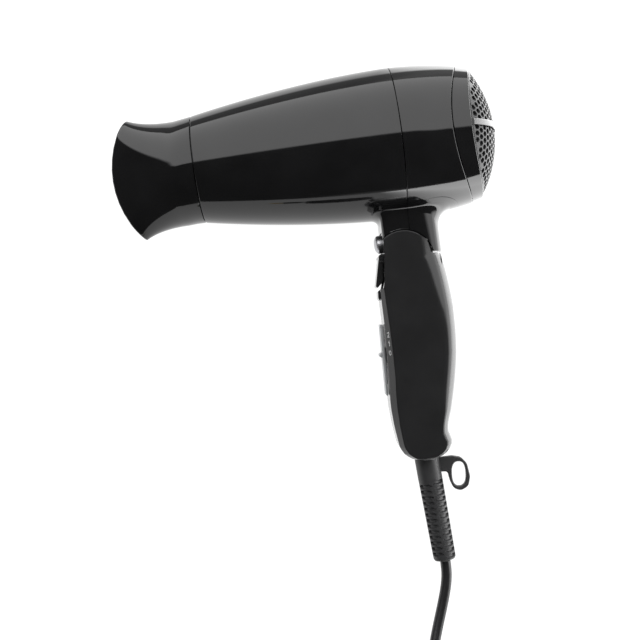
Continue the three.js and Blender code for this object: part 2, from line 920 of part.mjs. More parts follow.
// The cord's way from the strain relief to the coil, and from the coil to the plug.
const leadRoute = [
  [44.7, -127.3, 6.9],
  [44.7, -131, 6.3],
  [44.3, -135.5, 5.7],
  [43.2, -140.5, 5],
  [41.5, -146, 4.3],
  [39.2, -152.5, 3.6],
  [36.6, -159.5, 3.1],
  [34.1, -166.5, 2.95],
  [31.8, -174, 3],
  [29.8, -181.5, 3.2],
  [28.4, -188, 3.4],
];
const tailRoute = [
  [-27, -241.4, 16.9],
  [-32, -242, 14.3],
  [-37, -242.6, 11.8],
  [-41.5, -243, 10],
  [-45.5, -243.2, 9.3],
];
const COIL_CENTRE = { x: -8, y: -206 };
const COIL_LIFT = 1.2; // thickness of the tie under the coil
const PLUG_END = { x: -46, y: -243.2, z: 9.2 };
const PLUG_LENGTH = 32;

const vectors = (route) => route.map((point) => new THREE.Vector3(...point));

function coil() {
  const inner = COIL_RADII[0] - CORD_DIAMETER / 2;
  const outer = COIL_RADII[1] + CORD_DIAMETER / 2;
  const height = COIL_LAYERS * CORD_DIAMETER;
  const ring = revolve(
    [
      [0, inner + 1.5],
      [0, outer - 1.5],
      [1.5, outer],
      [height - 1.5, outer],
      [height, outer - 1.5],
      [height, inner + 1.5],
      [height - 1.5, inner],
      [1.5, inner],
    ],
    28,
  );
  return ring.rotateY(-Math.PI / 2).translate(COIL_CENTRE.x, COIL_CENTRE.y, COIL_LIFT);
}

// A flat strap round the bundle, on the coil's left side.
function coilTie() {
  const thick = 0.9;
  const inner = COIL_RADII[0] - CORD_DIAMETER / 2 - 4 * GAP;
  const outer = COIL_RADII[1] + CORD_DIAMETER / 2 + GAP;
  const top = COIL_LIFT + COIL_LAYERS * CORD_DIAMETER + GAP;
  const strap = block(-outer - thick, -inner + thick, -6, 6, 0, top + thick);
  const room = block(-outer, -inner, -7, 7, COIL_LIFT - GAP, top);
  return cut(strap, room).translate(COIL_CENTRE.x, COIL_CENTRE.y, 0);
}

function plugBody() {
  const outline = [
    [-7, -5],
    [-9, -9],
    [-11, -14],
    [-11, -PLUG_LENGTH],
    [11, -PLUG_LENGTH],
    [11, -14],
    [9, -9],
    [7, -5],
  ];
  const body = prism(outline, 8.6, 2).rotateZ(-Math.PI / 2);
  const relief = revolve(
    [
      [-8, 0],
      [-8, 5.4],
      [0, 3.9],
      [0, 0],
    ],
    16,
  );
  return join(body, relief).translate(PLUG_END.x, PLUG_END.y, PLUG_END.z);
}

piece("cord_lead", tube(vectors(leadRoute), CORD_DIAMETER / 2, 8, 8), rubber, cordage);
piece("cord_coil", coil(), rubber, cordage);
piece("cord_tie", coilTie(), satinBlack, cordage);
piece("cord_tail", tube(vectors(tailRoute), CORD_DIAMETER / 2, 8, 5), rubber, cordage);
piece("plug_body", plugBody(), rubber, cordage);
[-1, 1].forEach((side) => {
  const face = PLUG_END.x - PLUG_LENGTH - GAP;
  const y = PLUG_END.y + side * 6.35;
  const blade = block(face - 17, face, y - 0.75, y + 0.75, PLUG_END.z - 3.2, PLUG_END.z + 3.2);
  piece(side < 0 ? "plug_blade_1" : "plug_blade_2", blade, brass, cordage);
});

const assembly = new THREE.Group();
assembly.add(dryer, cordage);

export default assembly;
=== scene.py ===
"""A folding travel hair dryer, lying on its side: the looks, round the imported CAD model."""

import json
import math

import bmesh
import bpy
import numpy as np
from mathutils import Matrix, Vector


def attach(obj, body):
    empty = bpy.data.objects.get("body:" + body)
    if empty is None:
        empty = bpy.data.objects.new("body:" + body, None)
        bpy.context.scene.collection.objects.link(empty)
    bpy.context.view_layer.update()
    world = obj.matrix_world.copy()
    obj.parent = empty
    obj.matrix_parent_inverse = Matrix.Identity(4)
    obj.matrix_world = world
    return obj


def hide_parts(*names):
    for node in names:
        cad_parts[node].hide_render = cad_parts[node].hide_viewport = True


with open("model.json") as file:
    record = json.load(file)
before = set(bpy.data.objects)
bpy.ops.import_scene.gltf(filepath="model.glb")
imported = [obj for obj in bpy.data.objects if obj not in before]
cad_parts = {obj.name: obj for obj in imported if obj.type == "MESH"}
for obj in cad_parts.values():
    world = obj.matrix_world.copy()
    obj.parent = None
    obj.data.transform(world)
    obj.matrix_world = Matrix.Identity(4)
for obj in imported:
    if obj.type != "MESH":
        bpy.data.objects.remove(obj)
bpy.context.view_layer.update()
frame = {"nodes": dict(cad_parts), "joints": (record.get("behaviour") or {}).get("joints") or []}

# ------------------------------------------------------------------ the dryer's own frame
# Millimetres: x along the barrel (nozzle -x), y up from the handle to the barrel, z out of the left side.


def joint(name):
    return next(j for j in frame["joints"] if j["name"] == name)


FOLD = joint("handle_fold")
SWIVEL = joint("nozzle_swivel")
ROLL = math.atan2(FOLD["axis"][1], -FOLD["axis"][2])
ORIGIN = Vector((FOLD["pos_m"][0], SWIVEL["pos_m"][1], SWIVEL["pos_m"][2]))
TO_ROW = Matrix.Translation(ORIGIN) @ Matrix.Rotation(ROLL, 4, "X") @ Matrix.Scale(0.001, 4)
MM = Matrix.Scale(0.001, 4)  # for pieces on the table, given in the row frame in millimetres

BARREL_FRONT, SEAM_X, HOUSING_REAR, RING_REAR = -98, 4.5, 39.4, 45.1
GAP = 0.3  # at the seams
WALL = 2.4  # of the barrel's shells
PIVOT = (0, -61.2)  # of the folding handle
HALF_WIDTH = 15.5  # of the handle and the neck
HEAD_RADIUS = 15.3  # of the round top of the handle
SADDLE_RADIUS = 15.6  # of the hollow in the neck that the head turns in
FORK_RADIUS = 19.8  # of the slot between the head's two cheeks
BUTTON_Y = -50.75  # of the cool-shot button
SLEEVE_TOP = (-0.6, -163.9)  # of the strain relief
SLEEVE_LENGTH = 53.1
SLEEVE_LEAN = math.radians(2.8)
CORD_DIAMETER = 5.5

# ------------------------------------------------------------------ camera, floor and light

CAMERA_AT = (-46.2, -85.5, 520)
VIEW_WIDTH = 332.8  # of the picture, in millimetres, in the plane of the barrel's axis
TILT = math.radians(-7.5)

camera_data = bpy.data.cameras.new("camera")
camera_data.sensor_width = 36
camera_data.lens = 36 * CAMERA_AT[2] / VIEW_WIDTH
camera_data.clip_start = 0.01
camera = bpy.data.objects.new("camera", camera_data)
bpy.context.scene.collection.objects.link(camera)
turn = Matrix.Rotation(ROLL, 4, "X") @ Matrix.Rotation(TILT, 4, "Z")
camera.matrix_world = Matrix.Translation(TO_ROW @ Vector(CAMERA_AT)) @ turn
bpy.context.scene.camera = camera
bpy.context.scene.view_settings.view_transform = "Standard"


def new_object(name, mesh):
    made = bpy.data.objects.new(name, mesh)
    bpy.context.scene.collection.objects.link(made)
    return made


FLOOR_REACH = 3.0  # metres from the middle to each side
FLOOR_GAP = 0.0004  # under the dryer
FLAG_FROM = 0.24  # metres from the row's middle, past the barrel: the floor's reflection darkens here
LAMP_FROM = 0.05  # metres from the row's middle, past the handle: it brightens here


def studio_floor():
    mesh = bpy.data.meshes.new("floor")
    far = FLOOR_REACH
    mesh.from_pydata([(-far, -far, 0), (far, -far, 0), (far, far, 0), (-far, far, 0)], [], [(0, 1, 2, 3)])
    floor = new_object("floor", mesh)
    floor.location.z = -FLOOR_GAP
    material = bpy.data.materials.new("floor_white")
    material.use_nodes = True
    shader = material.node_tree.nodes["Principled BSDF"]
    shader.inputs["Base Color"].default_value = (0.16, 0.16, 0.16, 1)
    shader.inputs["Roughness"].default_value = 0.9
    shader.inputs["Specular IOR Level"].default_value = 0
    shader.inputs["Emission Color"].default_value = (1, 1, 1, 1)
    # seen directly the floor is white; past the barrel its reflection falls off, as under a dark flag
    tree = material.node_tree
    place = tree.nodes.new("ShaderNodeTexCoord")
    split = tree.nodes.new("ShaderNodeSeparateXYZ")
    tree.links.new(place.outputs["Object"], split.inputs[0])
    flag = tree.nodes.new("ShaderNodeMapRange")
    flag.inputs["From Min"].default_value = FLAG_FROM
    flag.inputs["From Max"].default_value = FLAG_FROM + 0.04
    flag.inputs["To Min"].default_value = 1.0
    flag.inputs["To Max"].default_value = 0.06
    tree.links.new(split.outputs["Y"], flag.inputs["Value"])
    # and beyond its rear end it is brighter, as beside a low lamp
    lamp = tree.nodes.new("ShaderNodeMapRange")
    lamp.inputs["From Min"].default_value = LAMP_FROM
    lamp.inputs["From Max"].default_value = LAMP_FROM + 0.10
    lamp.inputs["To Min"].default_value = 1.0
    lamp.inputs["To Max"].default_value = 6.0
    tree.links.new(split.outputs["X"], lamp.inputs["Value"])
    both = tree.nodes.new("ShaderNodeMath")
    both.operation = "MULTIPLY"
    tree.links.new(flag.outputs["Result"], both.inputs[0])
    tree.links.new(lamp.outputs["Result"], both.inputs[1])
    path = tree.nodes.new("ShaderNodeLightPath")
    seen = tree.nodes.new("ShaderNodeMix")
    seen.data_type = "FLOAT"
    tree.links.new(path.outputs["Is Camera Ray"], seen.inputs[0])
    tree.links.new(both.outputs["Value"], seen.inputs[2])
    seen.inputs[3].default_value = 1.0
    tree.links.new(seen.outputs[0], shader.inputs["Emission Strength"])
    floor.data.materials.append(material)


# Soft boxes far away: how bright each one is, and the cones that bound it. A cone has the direction of its
# middle in the dryer's frame, how wide it opens in degrees (90 is a half space), and how soft its edge is.
SOFT_BOXES = (
    (2.25, (((0.079, 0.988, -0.131), 90, 1.5), ((0.50, 0.75, 0.30), 90, 3))),
    (0.9, (((0.0, -0.99, -0.12), 14, 6),)),
    (3.5, (((1.0, -0.10, 0.0), 26, 14),)),
    (0.5, (((-0.2, -0.35, -0.93), 30, 12),)),
)
FILL = 0.07


def add_node(tree, kind, **settings):
    node = tree.nodes.new(kind)
    for key, value in settings.items():
        setattr(node, key, value)
    return node


def combined(tree, operation, a, b):
    node = add_node(tree, "ShaderNodeMath", operation=operation)
    tree.links.new(a, node.inputs[0])
    tree.links.new(b, node.inputs[1])
    return node.outputs["Value"]


def studio_light():
    world = bpy.data.worlds.new("studio")
    bpy.context.scene.world = world
    world.use_nodes = True
    tree = world.node_tree
    back = tree.nodes["Background"]
    back.inputs["Color"].default_value = (1, 1, 1, 1)
    coordinates = add_node(tree, "ShaderNodeTexCoord")
    fill = add_node(tree, "ShaderNodeValue")
    fill.outputs[0].default_value = FILL
    total = fill.outputs[0]
    for strength, cones in SOFT_BOXES:
        share = None
        for towards, opening, softness in cones:
            dot = add_node(tree, "ShaderNodeVectorMath", operation="DOT_PRODUCT")
            dot.inputs[1].default_value = (TO_ROW.to_3x3() @ Vector(towards)).normalized()
            tree.links.new(coordinates.outputs["Generated"], dot.inputs[0])
            ramp = add_node(tree, "ShaderNodeMapRange", interpolation_type="SMOOTHSTEP")
            ramp.inputs["From Min"].default_value = math.cos(math.radians(opening + softness))
            ramp.inputs["From Max"].default_value = math.cos(math.radians(opening - softness))
            ramp.inputs["To Max"].default_value = strength if share is None else 1.0
            tree.links.new(dot.outputs["Value"], ramp.inputs["Value"])
            inside = ramp.outputs["Result"]
            share = inside if share is None else combined(tree, "MULTIPLY", share, inside)
        total = combined(tree, "MAXIMUM", total, share)
    # the backdrop is plain white where it is seen directly
    path = add_node(tree, "ShaderNodeLightPath")
    seen = add_node(tree, "ShaderNodeMix", data_type="FLOAT")
    tree.links.new(path.outputs["Is Camera Ray"], seen.inputs[0])
    tree.links.new(total, seen.inputs[2])
    seen.inputs[3].default_value = 1.0
    tree.links.new(seen.outputs[0], back.inputs["Strength"])


studio_floor()
studio_light()

# ------------------------------------------------------------------ materials


def moulded(name, colour, roughness, grain=220.0, depth=0.02, mottle=0.25, metallic=0.0, specular=0.5,
            scuffs=0.05):
    """A moulded or metal surface: colour mottled a little, roughness uneven, fine grain in the normal."""
    material = bpy.data.materials.new(name)
    material.use_nodes = True
    tree = material.node_tree
    shader = tree.nodes["Principled BSDF"]
    shader.inputs["Metallic"].default_value = metallic
    shader.inputs["Specular IOR Level"].default_value = specular
    place = tree.nodes.new("ShaderNodeTexCoord")

    def noise(scale, detail):
        node = tree.nodes.new("ShaderNodeTexNoise")
        node.inputs["Scale"].default_value = scale
        node.inputs["Detail"].default_value = detail
        tree.links.new(place.outputs["Object"], node.inputs["Vector"])
        return node.outputs["Fac"]

    ramp = tree.nodes.new("ShaderNodeValToRGB")
    low, high = ramp.color_ramp.elements
    low.position, high.position = 0.3, 0.7
    low.color = (*[c * (1 - mottle) for c in colour], 1)
    high.color = (*[min(1.0, c * (1 + mottle)) for c in colour], 1)
    tree.links.new(noise(60.0, 3), ramp.inputs["Fac"])
    tree.links.new(ramp.outputs["Color"], shader.inputs["Base Color"])
    rough = tree.nodes.new("ShaderNodeMapRange")
    rough.inputs["From Min"].default_value = 0.3
    rough.inputs["From Max"].default_value = 0.7
    rough.inputs["To Min"].default_value = max(0.02, roughness - scuffs)
    rough.inputs["To Max"].default_value = roughness + scuffs
    tree.links.new(noise(35.0, 4), rough.inputs["Value"])
    tree.links.new(rough.outputs["Result"], shader.inputs["Roughness"])
    bump = tree.nodes.new("ShaderNodeBump")
    bump.inputs["Strength"].default_value = depth
    bump.inputs["Distance"].default_value = 0.0004
    tree.links.new(noise(grain * 10, 2), bump.inputs["Height"])
    tree.links.new(bump.outputs["Normal"], shader.inputs["Normal"])
    return material


MATERIALS = {
    "gloss_shell": moulded("gloss_black", (0.006, 0.006, 0.0063), 0.055, depth=0.006, scuffs=0.02),
    "satin_handle": moulded("satin_black", (0.0160, 0.0160, 0.0165), 0.11, depth=0.012, mottle=0.12,
                            specular=0.45, scuffs=0.015),
    "rubber": moulded("rubber", (0.022, 0.022, 0.023), 0.48, grain=300, depth=0.08),
    "satin_chrome": moulded("satin_chrome", (0.50, 0.50, 0.52), 0.36, depth=0.02, mottle=0.05, metallic=1,
                            scuffs=0.03),
    "silver": moulded("silver_paint", (0.42, 0.43, 0.44), 0.34, grain=900, depth=0.05, mottle=0.08,
                      metallic=0.6),
    "steel": moulded("steel", (0.50, 0.51, 0.52), 0.30, mottle=0.1, metallic=1),
    "blackened_steel": moulded("blackened_steel", (0.03, 0.03, 0.032), 0.38, mottle=0.15, metallic=1),
    "brass": moulded("brass", (0.62, 0.45, 0.14), 0.26, mottle=0.12, metallic=1),
    "mica": moulded("mica", (0.46, 0.36, 0.20), 0.5, grain=40, depth=0.25, mottle=0.35),
    "nichrome": moulded("nichrome", (0.30, 0.27, 0.24), 0.35, mottle=0.25, metallic=1),
    "dark_plastic": moulded("dark_plastic", (0.014, 0.014, 0.0145), 0.20, depth=0.05),
    "pale_plastic": moulded("pale_plastic", (0.62, 0.60, 0.54), 0.45, depth=0.05, mottle=0.08),
}
MARKS = moulded("mark_ink", (0.55, 0.55, 0.55), 0.5, depth=0.02, mottle=0.1)
GRILLE_BLACK = moulded("grille_black", (0.014, 0.014, 0.0145), 0.38, depth=0.04, specular=0.14)
CORD_SKIN = moulded("cord_jacket", (0.011, 0.011, 0.012), 0.30, grain=60, depth=0.03, mottle=0.2,
                    scuffs=0.06)

# ------------------------------------------------------------------ mesh tools


def make_mesh(name, points, faces):
    mesh = bpy.data.meshes.new(name)
    mesh.from_pydata([tuple(p) for p in points], [], [tuple(f) for f in faces])
    return mesh


def tidy(bm, merge=1e-4):
    bmesh.ops.remove_doubles(bm, verts=bm.verts, dist=merge)
    bmesh.ops.dissolve_degenerate(bm, edges=bm.edges, dist=merge)
    bmesh.ops.recalc_face_normals(bm, faces=bm.faces)


def rounded(corners, radius, steps=4, closed=True):
    """A 2-D outline with its corners rounded; radius is one number or one per corner."""
    count = len(corners)
    radii = [radius] * count if isinstance(radius, (int, float)) else list(radius)
    out = []
    for i, corner in enumerate(corners):
        here = Vector(corner)
        before, after = Vector(corners[i - 1]), Vector(corners[(i + 1) % count])
        to_before, to_after = before - here, after - here
        if radii[i] <= 0 or (not closed and i in (0, count - 1)):
            out.append(tuple(here))
            continue
        angle = to_before.angle(to_after)
        if angle > math.radians(176):
            out.append(tuple(here))
            continue
        back = min(radii[i] / math.tan(angle / 2), 0.48 * to_before.length, 0.48 * to_after.length)
        start = here + to_before.normalized() * back
        end = here + to_after.normalized() * back
        for k in range(steps + 1):
            t = k / steps
            out.append(tuple(start * (1 - t) ** 2 + here * 2 * t * (1 - t) + end * t * t))
    return out


def rings_mesh(name, rings, loop=False):
    """Rings of equally many points, joined in order; the ends are capped unless they form a loop."""
    count = len(rings[0])
    points = [p for ring in rings for p in ring]
    faces = []
    for i in range(len(rings) if loop else len(rings) - 1):
        a, b = i * count, ((i + 1) % len(rings)) * count
        for k in range(count):
            n = (k + 1) % count
            faces.append((a + k, a + n, b + n, b + k))
    if not loop:
        faces.append(tuple(range(count - 1, -1, -1)))
        faces.append(tuple(range((len(rings) - 1) * count, len(rings) * count)))
    return clean(make_mesh(name, points, faces))


def clean(mesh):
    bm = bmesh.new()
    bm.from_mesh(mesh)
    tidy(bm)
    bm.to_mesh(mesh)
    bm.free()
    return mesh


def lathe(name, profile, segments=96, centre=(0, 0)):
    """A closed profile of (x, radius) points turned about the x axis."""
    rings = []
    for x, r in profile:
        angles = [2 * math.pi * k / segments for k in range(segments)]
        rings.append([(x, centre[0] + r * math.cos(a), centre[1] + r * math.sin(a)) for a in angles])
    return rings_mesh(name, rings, loop=True)


def rod(name, profile, axis="x", at=(0, 0, 0), segments=48):
    """A solid turned shape: profile is (distance along the axis, radius) points, capped at both ends."""
    rings = []
    for x, r in profile:
        ring = []
        for k in range(segments):
            a = 2 * math.pi * k / segments
            c, s = r * math.cos(a), r * math.sin(a)
            p = {"x": (x, c, s), "y": (s, x, c), "z": (c, s, x)}[axis]
            ring.append((p[0] + at[0], p[1] + at[1], p[2] + at[2]))
        rings.append(ring)
    return rings_mesh(name, rings)


def slab(name, outline, low, high, edge=0.0, steps=3):
    """A side outline of (x, y) points between two heights in z, with rounded rims."""
    if edge <= 0:
        return rings_mesh(name, [[(x, y, z) for x, y in outline] for z in (low, high)])
    rings = []
    quarter = [math.pi / 2 * k / steps for k in range(steps + 1)]
    profile = [(edge * (1 - math.sin(a)), edge * (1 - math.cos(a))) for a in quarter]
    # each row is (inset, rise): the rim starts inset by the edge, and ends at the full outline and height
    for inset, rise in profile:
        rings.append([(x, y, low + rise) for x, y in shrink(outline, inset)])
    for inset, rise in reversed(profile):
        rings.append([(x, y, high - rise) for x, y in shrink(outline, inset)])
    return rings_mesh(name, rings)


def shrink(outline, inset):
    """The outline moved inwards by the inset, point by point."""
    if inset <= 0:
        return list(outline)
    count = len(outline)
    area = sum(outline[i - 1][0] * outline[i][1] - outline[i][0] * outline[i - 1][1] for i in range(count))
    side = 1 if area > 0 else -1
    out = []
    for i in range(count):
        a, b, c = (Vector(outline[j]) for j in (i - 1, i, (i + 1) % count))
        u, v = b - a, c - b
        if u.length < 1e-6 or v.length < 1e-6:
            out.append(outline[i])
            continue
        n1 = Vector((-u.y, u.x)).normalized() * side
        n2 = Vector((-v.y, v.x)).normalized() * side
        n = n1 + n2
        if n.length < 0.2:
            out.append(outline[i])
            continue
        n = n.normalized()
        out.append(tuple(b + n * inset / max(0.5, n.dot(n1))))
    return out


def box_mesh(name, low, high):
    points = [(x, y, z) for x in (low[0], high[0]) for y in (low[1], high[1]) for z in (low[2], high[2])]
    faces = [(0, 1, 3, 2), (4, 6, 7, 5), (0, 4, 5, 1), (2, 3, 7, 6), (0, 2, 6, 4), (1, 5, 7, 3)]
    return clean(make_mesh(name, points, faces))


def combine(base, others, operation):
    """One boolean operation between a mesh and others; all are closed."""
    body = new_object("body", base)
    tools = []
    for tool in others:
        cutter = new_object("tool", tool)
        modifier = body.modifiers.new("boolean", "BOOLEAN")
        modifier.operation = operation
        modifier.solver = "MANIFOLD"
        modifier.object = cutter
        tools.append(cutter)
    evaluated = body.evaluated_get(bpy.context.evaluated_depsgraph_get())
    mesh = bpy.data.meshes.new_from_object(evaluated)
    for made in [body, *tools]:
        bpy.data.objects.remove(made)
    return mesh


def cut(base, *tools):
    return combine(base, tools, "DIFFERENCE")


def union(base, *others):
    return combine(base, others, "UNION")


def halves(mesh, axis, low, high):
    """The parts of a closed mesh below one plane and above another, each closed again."""
    out = []
    for at, clear_outer in ((low, True), (high, False)):
        bm = bmesh.new()
        bm.from_mesh(mesh)
        normal, point = [0, 0, 0], [0, 0, 0]
        normal[axis], point[axis] = 1, at
        geometry = bm.verts[:] + bm.edges[:] + bm.faces[:]
        bmesh.ops.bisect_plane(
            bm, geom=geometry, plane_co=point, plane_no=normal,
            clear_outer=clear_outer, clear_inner=not clear_outer,
        )
        rim = [e for e in bm.edges if e.is_boundary]
        bmesh.ops.holes_fill(bm, edges=rim, sides=0)
        bmesh.ops.recalc_face_normals(bm, faces=bm.faces)
        part = bpy.data.meshes.new(mesh.name)
        bm.to_mesh(part)
        bm.free()
        out.append(part)
    return out


def soften(mesh, width, angle=40, steps=2):
    """Rounds every edge sharper than the angle."""
    bm = bmesh.new()
    bm.from_mesh(mesh)
    tidy(bm)
    sharp = [e for e in bm.edges if e.is_manifold and e.calc_face_angle(0) > math.radians(angle)]
    bmesh.ops.bevel(
        bm, geom=sharp, offset=width, segments=steps, profile=0.5, affect="EDGES", clamp_overlap=True
    )
    bm.to_mesh(mesh)
    bm.free()
    return mesh


def flat_faces_lead(made):
    """The object's mesh with normals weighted by face area, so that flat faces shade flat."""
    modifier = made.modifiers.new("normals", "WEIGHTED_NORMAL")
    modifier.mode = "FACE_AREA"
    modifier.weight = 80
    modifier.keep_sharp = True
    evaluated = made.evaluated_get(bpy.context.evaluated_depsgraph_get())
    mesh = bpy.data.meshes.new_from_object(evaluated)
    made.modifiers.clear()
    mesh.name = made.name
    return mesh


def piece(name, mesh, body, slot, nodes=(), matrix=TO_ROW, material=None, smooth=38, even=True):
    """A finished piece: placed, shaded, riding on its body, standing for its CAD nodes."""
    mesh.transform(matrix)
    mesh.name = name
    made = new_object(name, mesh)
    mesh.materials.clear()
    mesh.materials.append(material or MATERIALS[slot])
    mesh.shade_smooth()
    mesh.set_sharp_from_angle(angle=math.radians(smooth))
    if even:
        made.data = flat_faces_lead(made)
    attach(made, body)
    if nodes:
        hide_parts(*nodes)
    return made


def smoothstep(x, low, high):
    t = min(1.0, max(0.0, (x - low) / (high - low)))
    return t * t * (3 - 2 * t)


def lerp(a, b, t):
    return a + (b - a) * t


def spaced(low, high, steps):
    return [low + (high - low) * k / steps for k in range(steps + 1)]

# ------------------------------------------------------------------ cord, coil, tie and plug

COIL_CENTRE = Vector((-8, -206))
COIL_RINGS = (34, 28.5)
COIL_LAYERS = 4
COIL_LOW = 3.95
COIL_TURNS = 8.25
LEAD_ROUTE = (
    (44.7, -127.3, 6.9), (44.7, -131, 6.3), (44.3, -135.5, 5.7), (43.2, -140.5, 5), (41.5, -146, 4.3),
    (39.2, -152.5, 3.6), (36.6, -159.5, 3.1), (34.1, -166.5, 2.95), (31.8, -174, 3), (29.8, -181.5, 3.2),
    (28.4, -188, 3.4), (27, -196, 3.7),
)
TAIL_ROUTE = (
    (-27, -241.4, 16.9), (-32, -242, 14.3), (-37, -242.6, 11.8), (-41.5, -243, 10), (-45.5, -243.2, 9.3),
)


def coil_route():
    """Turns side by side and in layers, clockwise from above; near its end each slips to the next place."""
    places = []
    for layer in range(COIL_LAYERS):
        rings = COIL_RINGS if layer % 2 == 0 else tuple(reversed(COIL_RINGS))
        places += [(radius, COIL_LOW + CORD_DIAMETER * layer) for radius in rings]
    places.append(places[-1])
    per_turn = 40
    route = []
    for k in range(int(COIL_TURNS * per_turn) + 1):
        turns = k / per_turn
        now, share = int(turns), turns - int(turns)
        move = smoothstep(share, 0.72, 1.0)
        here, after = places[min(now, len(places) - 1)], places[min(now + 1, len(places) - 1)]
        radius, height = lerp(here[0], after[0], move), lerp(here[1], after[1], move)
        angle = -2 * math.pi * turns
        across, along = radius * math.cos(angle), radius * math.sin(angle)
        route.append((COIL_CENTRE.x + across, COIL_CENTRE.y + along, height))
    return route


def smooth_line(points, step):
    """A Catmull-Rom line through the points, read off at even steps."""
    p = np.array([points[0], *points, points[-1]], float)
    p[0], p[-1] = 2 * p[1] - p[2], 2 * p[-2] - p[-3]
    line = []
    for i in range(1, len(p) - 2):
        for t in np.linspace(0, 1, 8, endpoint=False):
            a, b, c, d = p[i - 1], p[i], p[i + 1], p[i + 2]
            square, cube = 2 * a - 5 * b + 4 * c - d, 3 * b - a - 3 * c + d
            line.append(0.5 * (2 * b + (c - a) * t + square * t**2 + cube * t**3))
    line.append(p[-2])
    line = np.array(line)
    for _ in range(6):
        line[1:-1] = (line[:-2] + 2 * line[1:-1] + line[2:]) / 4
    lengths = np.concatenate([[0], np.cumsum(np.linalg.norm(np.diff(line, axis=0), axis=1))])
    places = np.linspace(0, lengths[-1], int(lengths[-1] / step) + 1)
    return np.stack([np.interp(places, lengths, line[:, k]) for k in range(3)], axis=1), float(lengths[-1])


def tube_rings(line, radius, sides):
    """Circles square to the line, turned as little as possible from one to the next."""
    line = np.asarray(line, float)
    tangents = np.gradient(line, axis=0)
    tangents /= np.linalg.norm(tangents, axis=1)[:, None]
    across = np.cross(tangents[0], (0, 0, 1.0))
    across /= np.linalg.norm(across)
    rings = []
    for point, tangent in zip(line, tangents):
        across = across - tangent * np.dot(across, tangent)
        across /= np.linalg.norm(across)
        up = np.cross(tangent, across)
        angles = [2 * math.pi * k / sides for k in range(sides)]
        rings.append([tuple(point + radius * (across * math.cos(a) + up * math.sin(a))) for a in angles])
    return rings


def plug_ring(x, half_y, half_z, middle, count, power):
    """A cross-section of the plug: an ellipse at power 1, squarer as the power falls."""
    ring = []
    for k in range(count):
        a = 2 * math.pi * k / count
        c, s = math.cos(a), math.sin(a)
        y = middle[0] + half_y * math.copysign(abs(c) ** power, c)
        ring.append((x, y, middle[1] + half_z * math.copysign(abs(s) ** power, s)))
    return ring


def cordage():
    points = [*LEAD_ROUTE, *coil_route(), *TAIL_ROUTE]
    line, length = smooth_line(points, 2.0)
    tube = rings_mesh("cord", tube_rings(line, CORD_DIAMETER / 2, 20))
    cord = piece("power_cord", tube, "handle", "rubber", ("cord_lead", "cord_coil", "cord_tail"), MM,
                 CORD_SKIN, smooth=60)
    # the tie: a strap round the bundle
    thick = 0.9
    west = COIL_CENTRE.x - sum(COIL_RINGS) / 2
    low, high = 0.25, COIL_LOW + CORD_DIAMETER * COIL_LAYERS - 0.9
    left, right = west - 6.9, west + 6.9
    section = rounded([(left, low), (right, low), (right, high), (left, high)], 3.2, 6)
    edge, inside = shrink(section, 0.25), shrink(section, thick)
    rings = []
    for y, outline in ((-5.6, section), (-6, edge), (-6, inside), (6, inside), (6, edge), (5.6, section)):
        rings.append([(x, COIL_CENTRE.y + y, z) for x, z in outline])
    strap = rings_mesh("tie", rings, loop=True)
    tie = piece("cord_tie_strap", strap, "handle", "rubber", ("cord_tie",), MM)
    # the plug: a tapered sleeve, a body with a waist to grip, and its blades
    middle = (-243.2, 9.2)
    stations = (  # (place, half width, half height, power)
        (-46.2, 3.5, 3.5, 1), (-50, 3.7, 3.7, 1), (-56, 4.4, 4.3, 1), (-58.2, 4.7, 4.5, 0.95),
        (-59, 7.5, 6.2, 0.75), (-61, 9.6, 7.8, 0.62), (-64, 10.6, 8.3, 0.58), (-68, 10.1, 7.9, 0.56),
        (-72, 10.2, 8.0, 0.54), (-75.5, 10.9, 8.5, 0.5), (-77.2, 10.9, 8.5, 0.5), (-77.9, 10.4, 8.1, 0.5),
    )
    body = rings_mesh("plug", [plug_ring(x, hy, hz, middle, 48, p) for x, hy, hz, p in stations])
    plug = piece("plug_moulding", body, "handle", "rubber", ("plug_body",), MM, CORD_SKIN, smooth=50)
    for side in (-1, 1):
        y = middle[0] + side * 6.35
        outline = [(-78.2, 3.2), (-93.2, 3.2), (-95.2, 1.7), (-95.2, -1.7), (-93.2, -3.2), (-78.2, -3.2)]
        hole = rod("hole", [(y - 2, 1.55), (y + 2, 1.55)], "y", (-91, 0, middle[1]), 20)
        faces = [[(x, y + dy, middle[1] + z) for x, z in outline] for dy in (-0.75, 0.75)]
        flat = rings_mesh("blade", faces)
        blade = soften(cut(flat, hole), 0.25, 50, 2)
        name = "plug_blade_left" if side < 0 else "plug_blade_right"
        piece(name, blade, "handle", "brass", (f"plug_blade_{1 if side < 0 else 2}",), MM)


cordage()

# ------------------------------------------------------------------ barrel shells and neck


def barrel_radius(x):
    if x < 5:
        return 38.8 - 0.00373 * (5 - x) ** 1.726
    return 38.8 - 0.00104 * (x - 5) ** 2.2


def bow_at(x, z):
    rim = min(1, max(0, (x - HOUSING_REAR) / (RING_REAR - HOUSING_REAR)))
    return smoothstep(x, SEAM_X + GAP, HOUSING_REAR) * lerp(9.5, 6.2, rim) * (z / 36) ** 2


def bowed(mesh):
    for vertex in mesh.vertices:
        vertex.co.x -= bow_at(vertex.co.x, vertex.co.z)
    return mesh


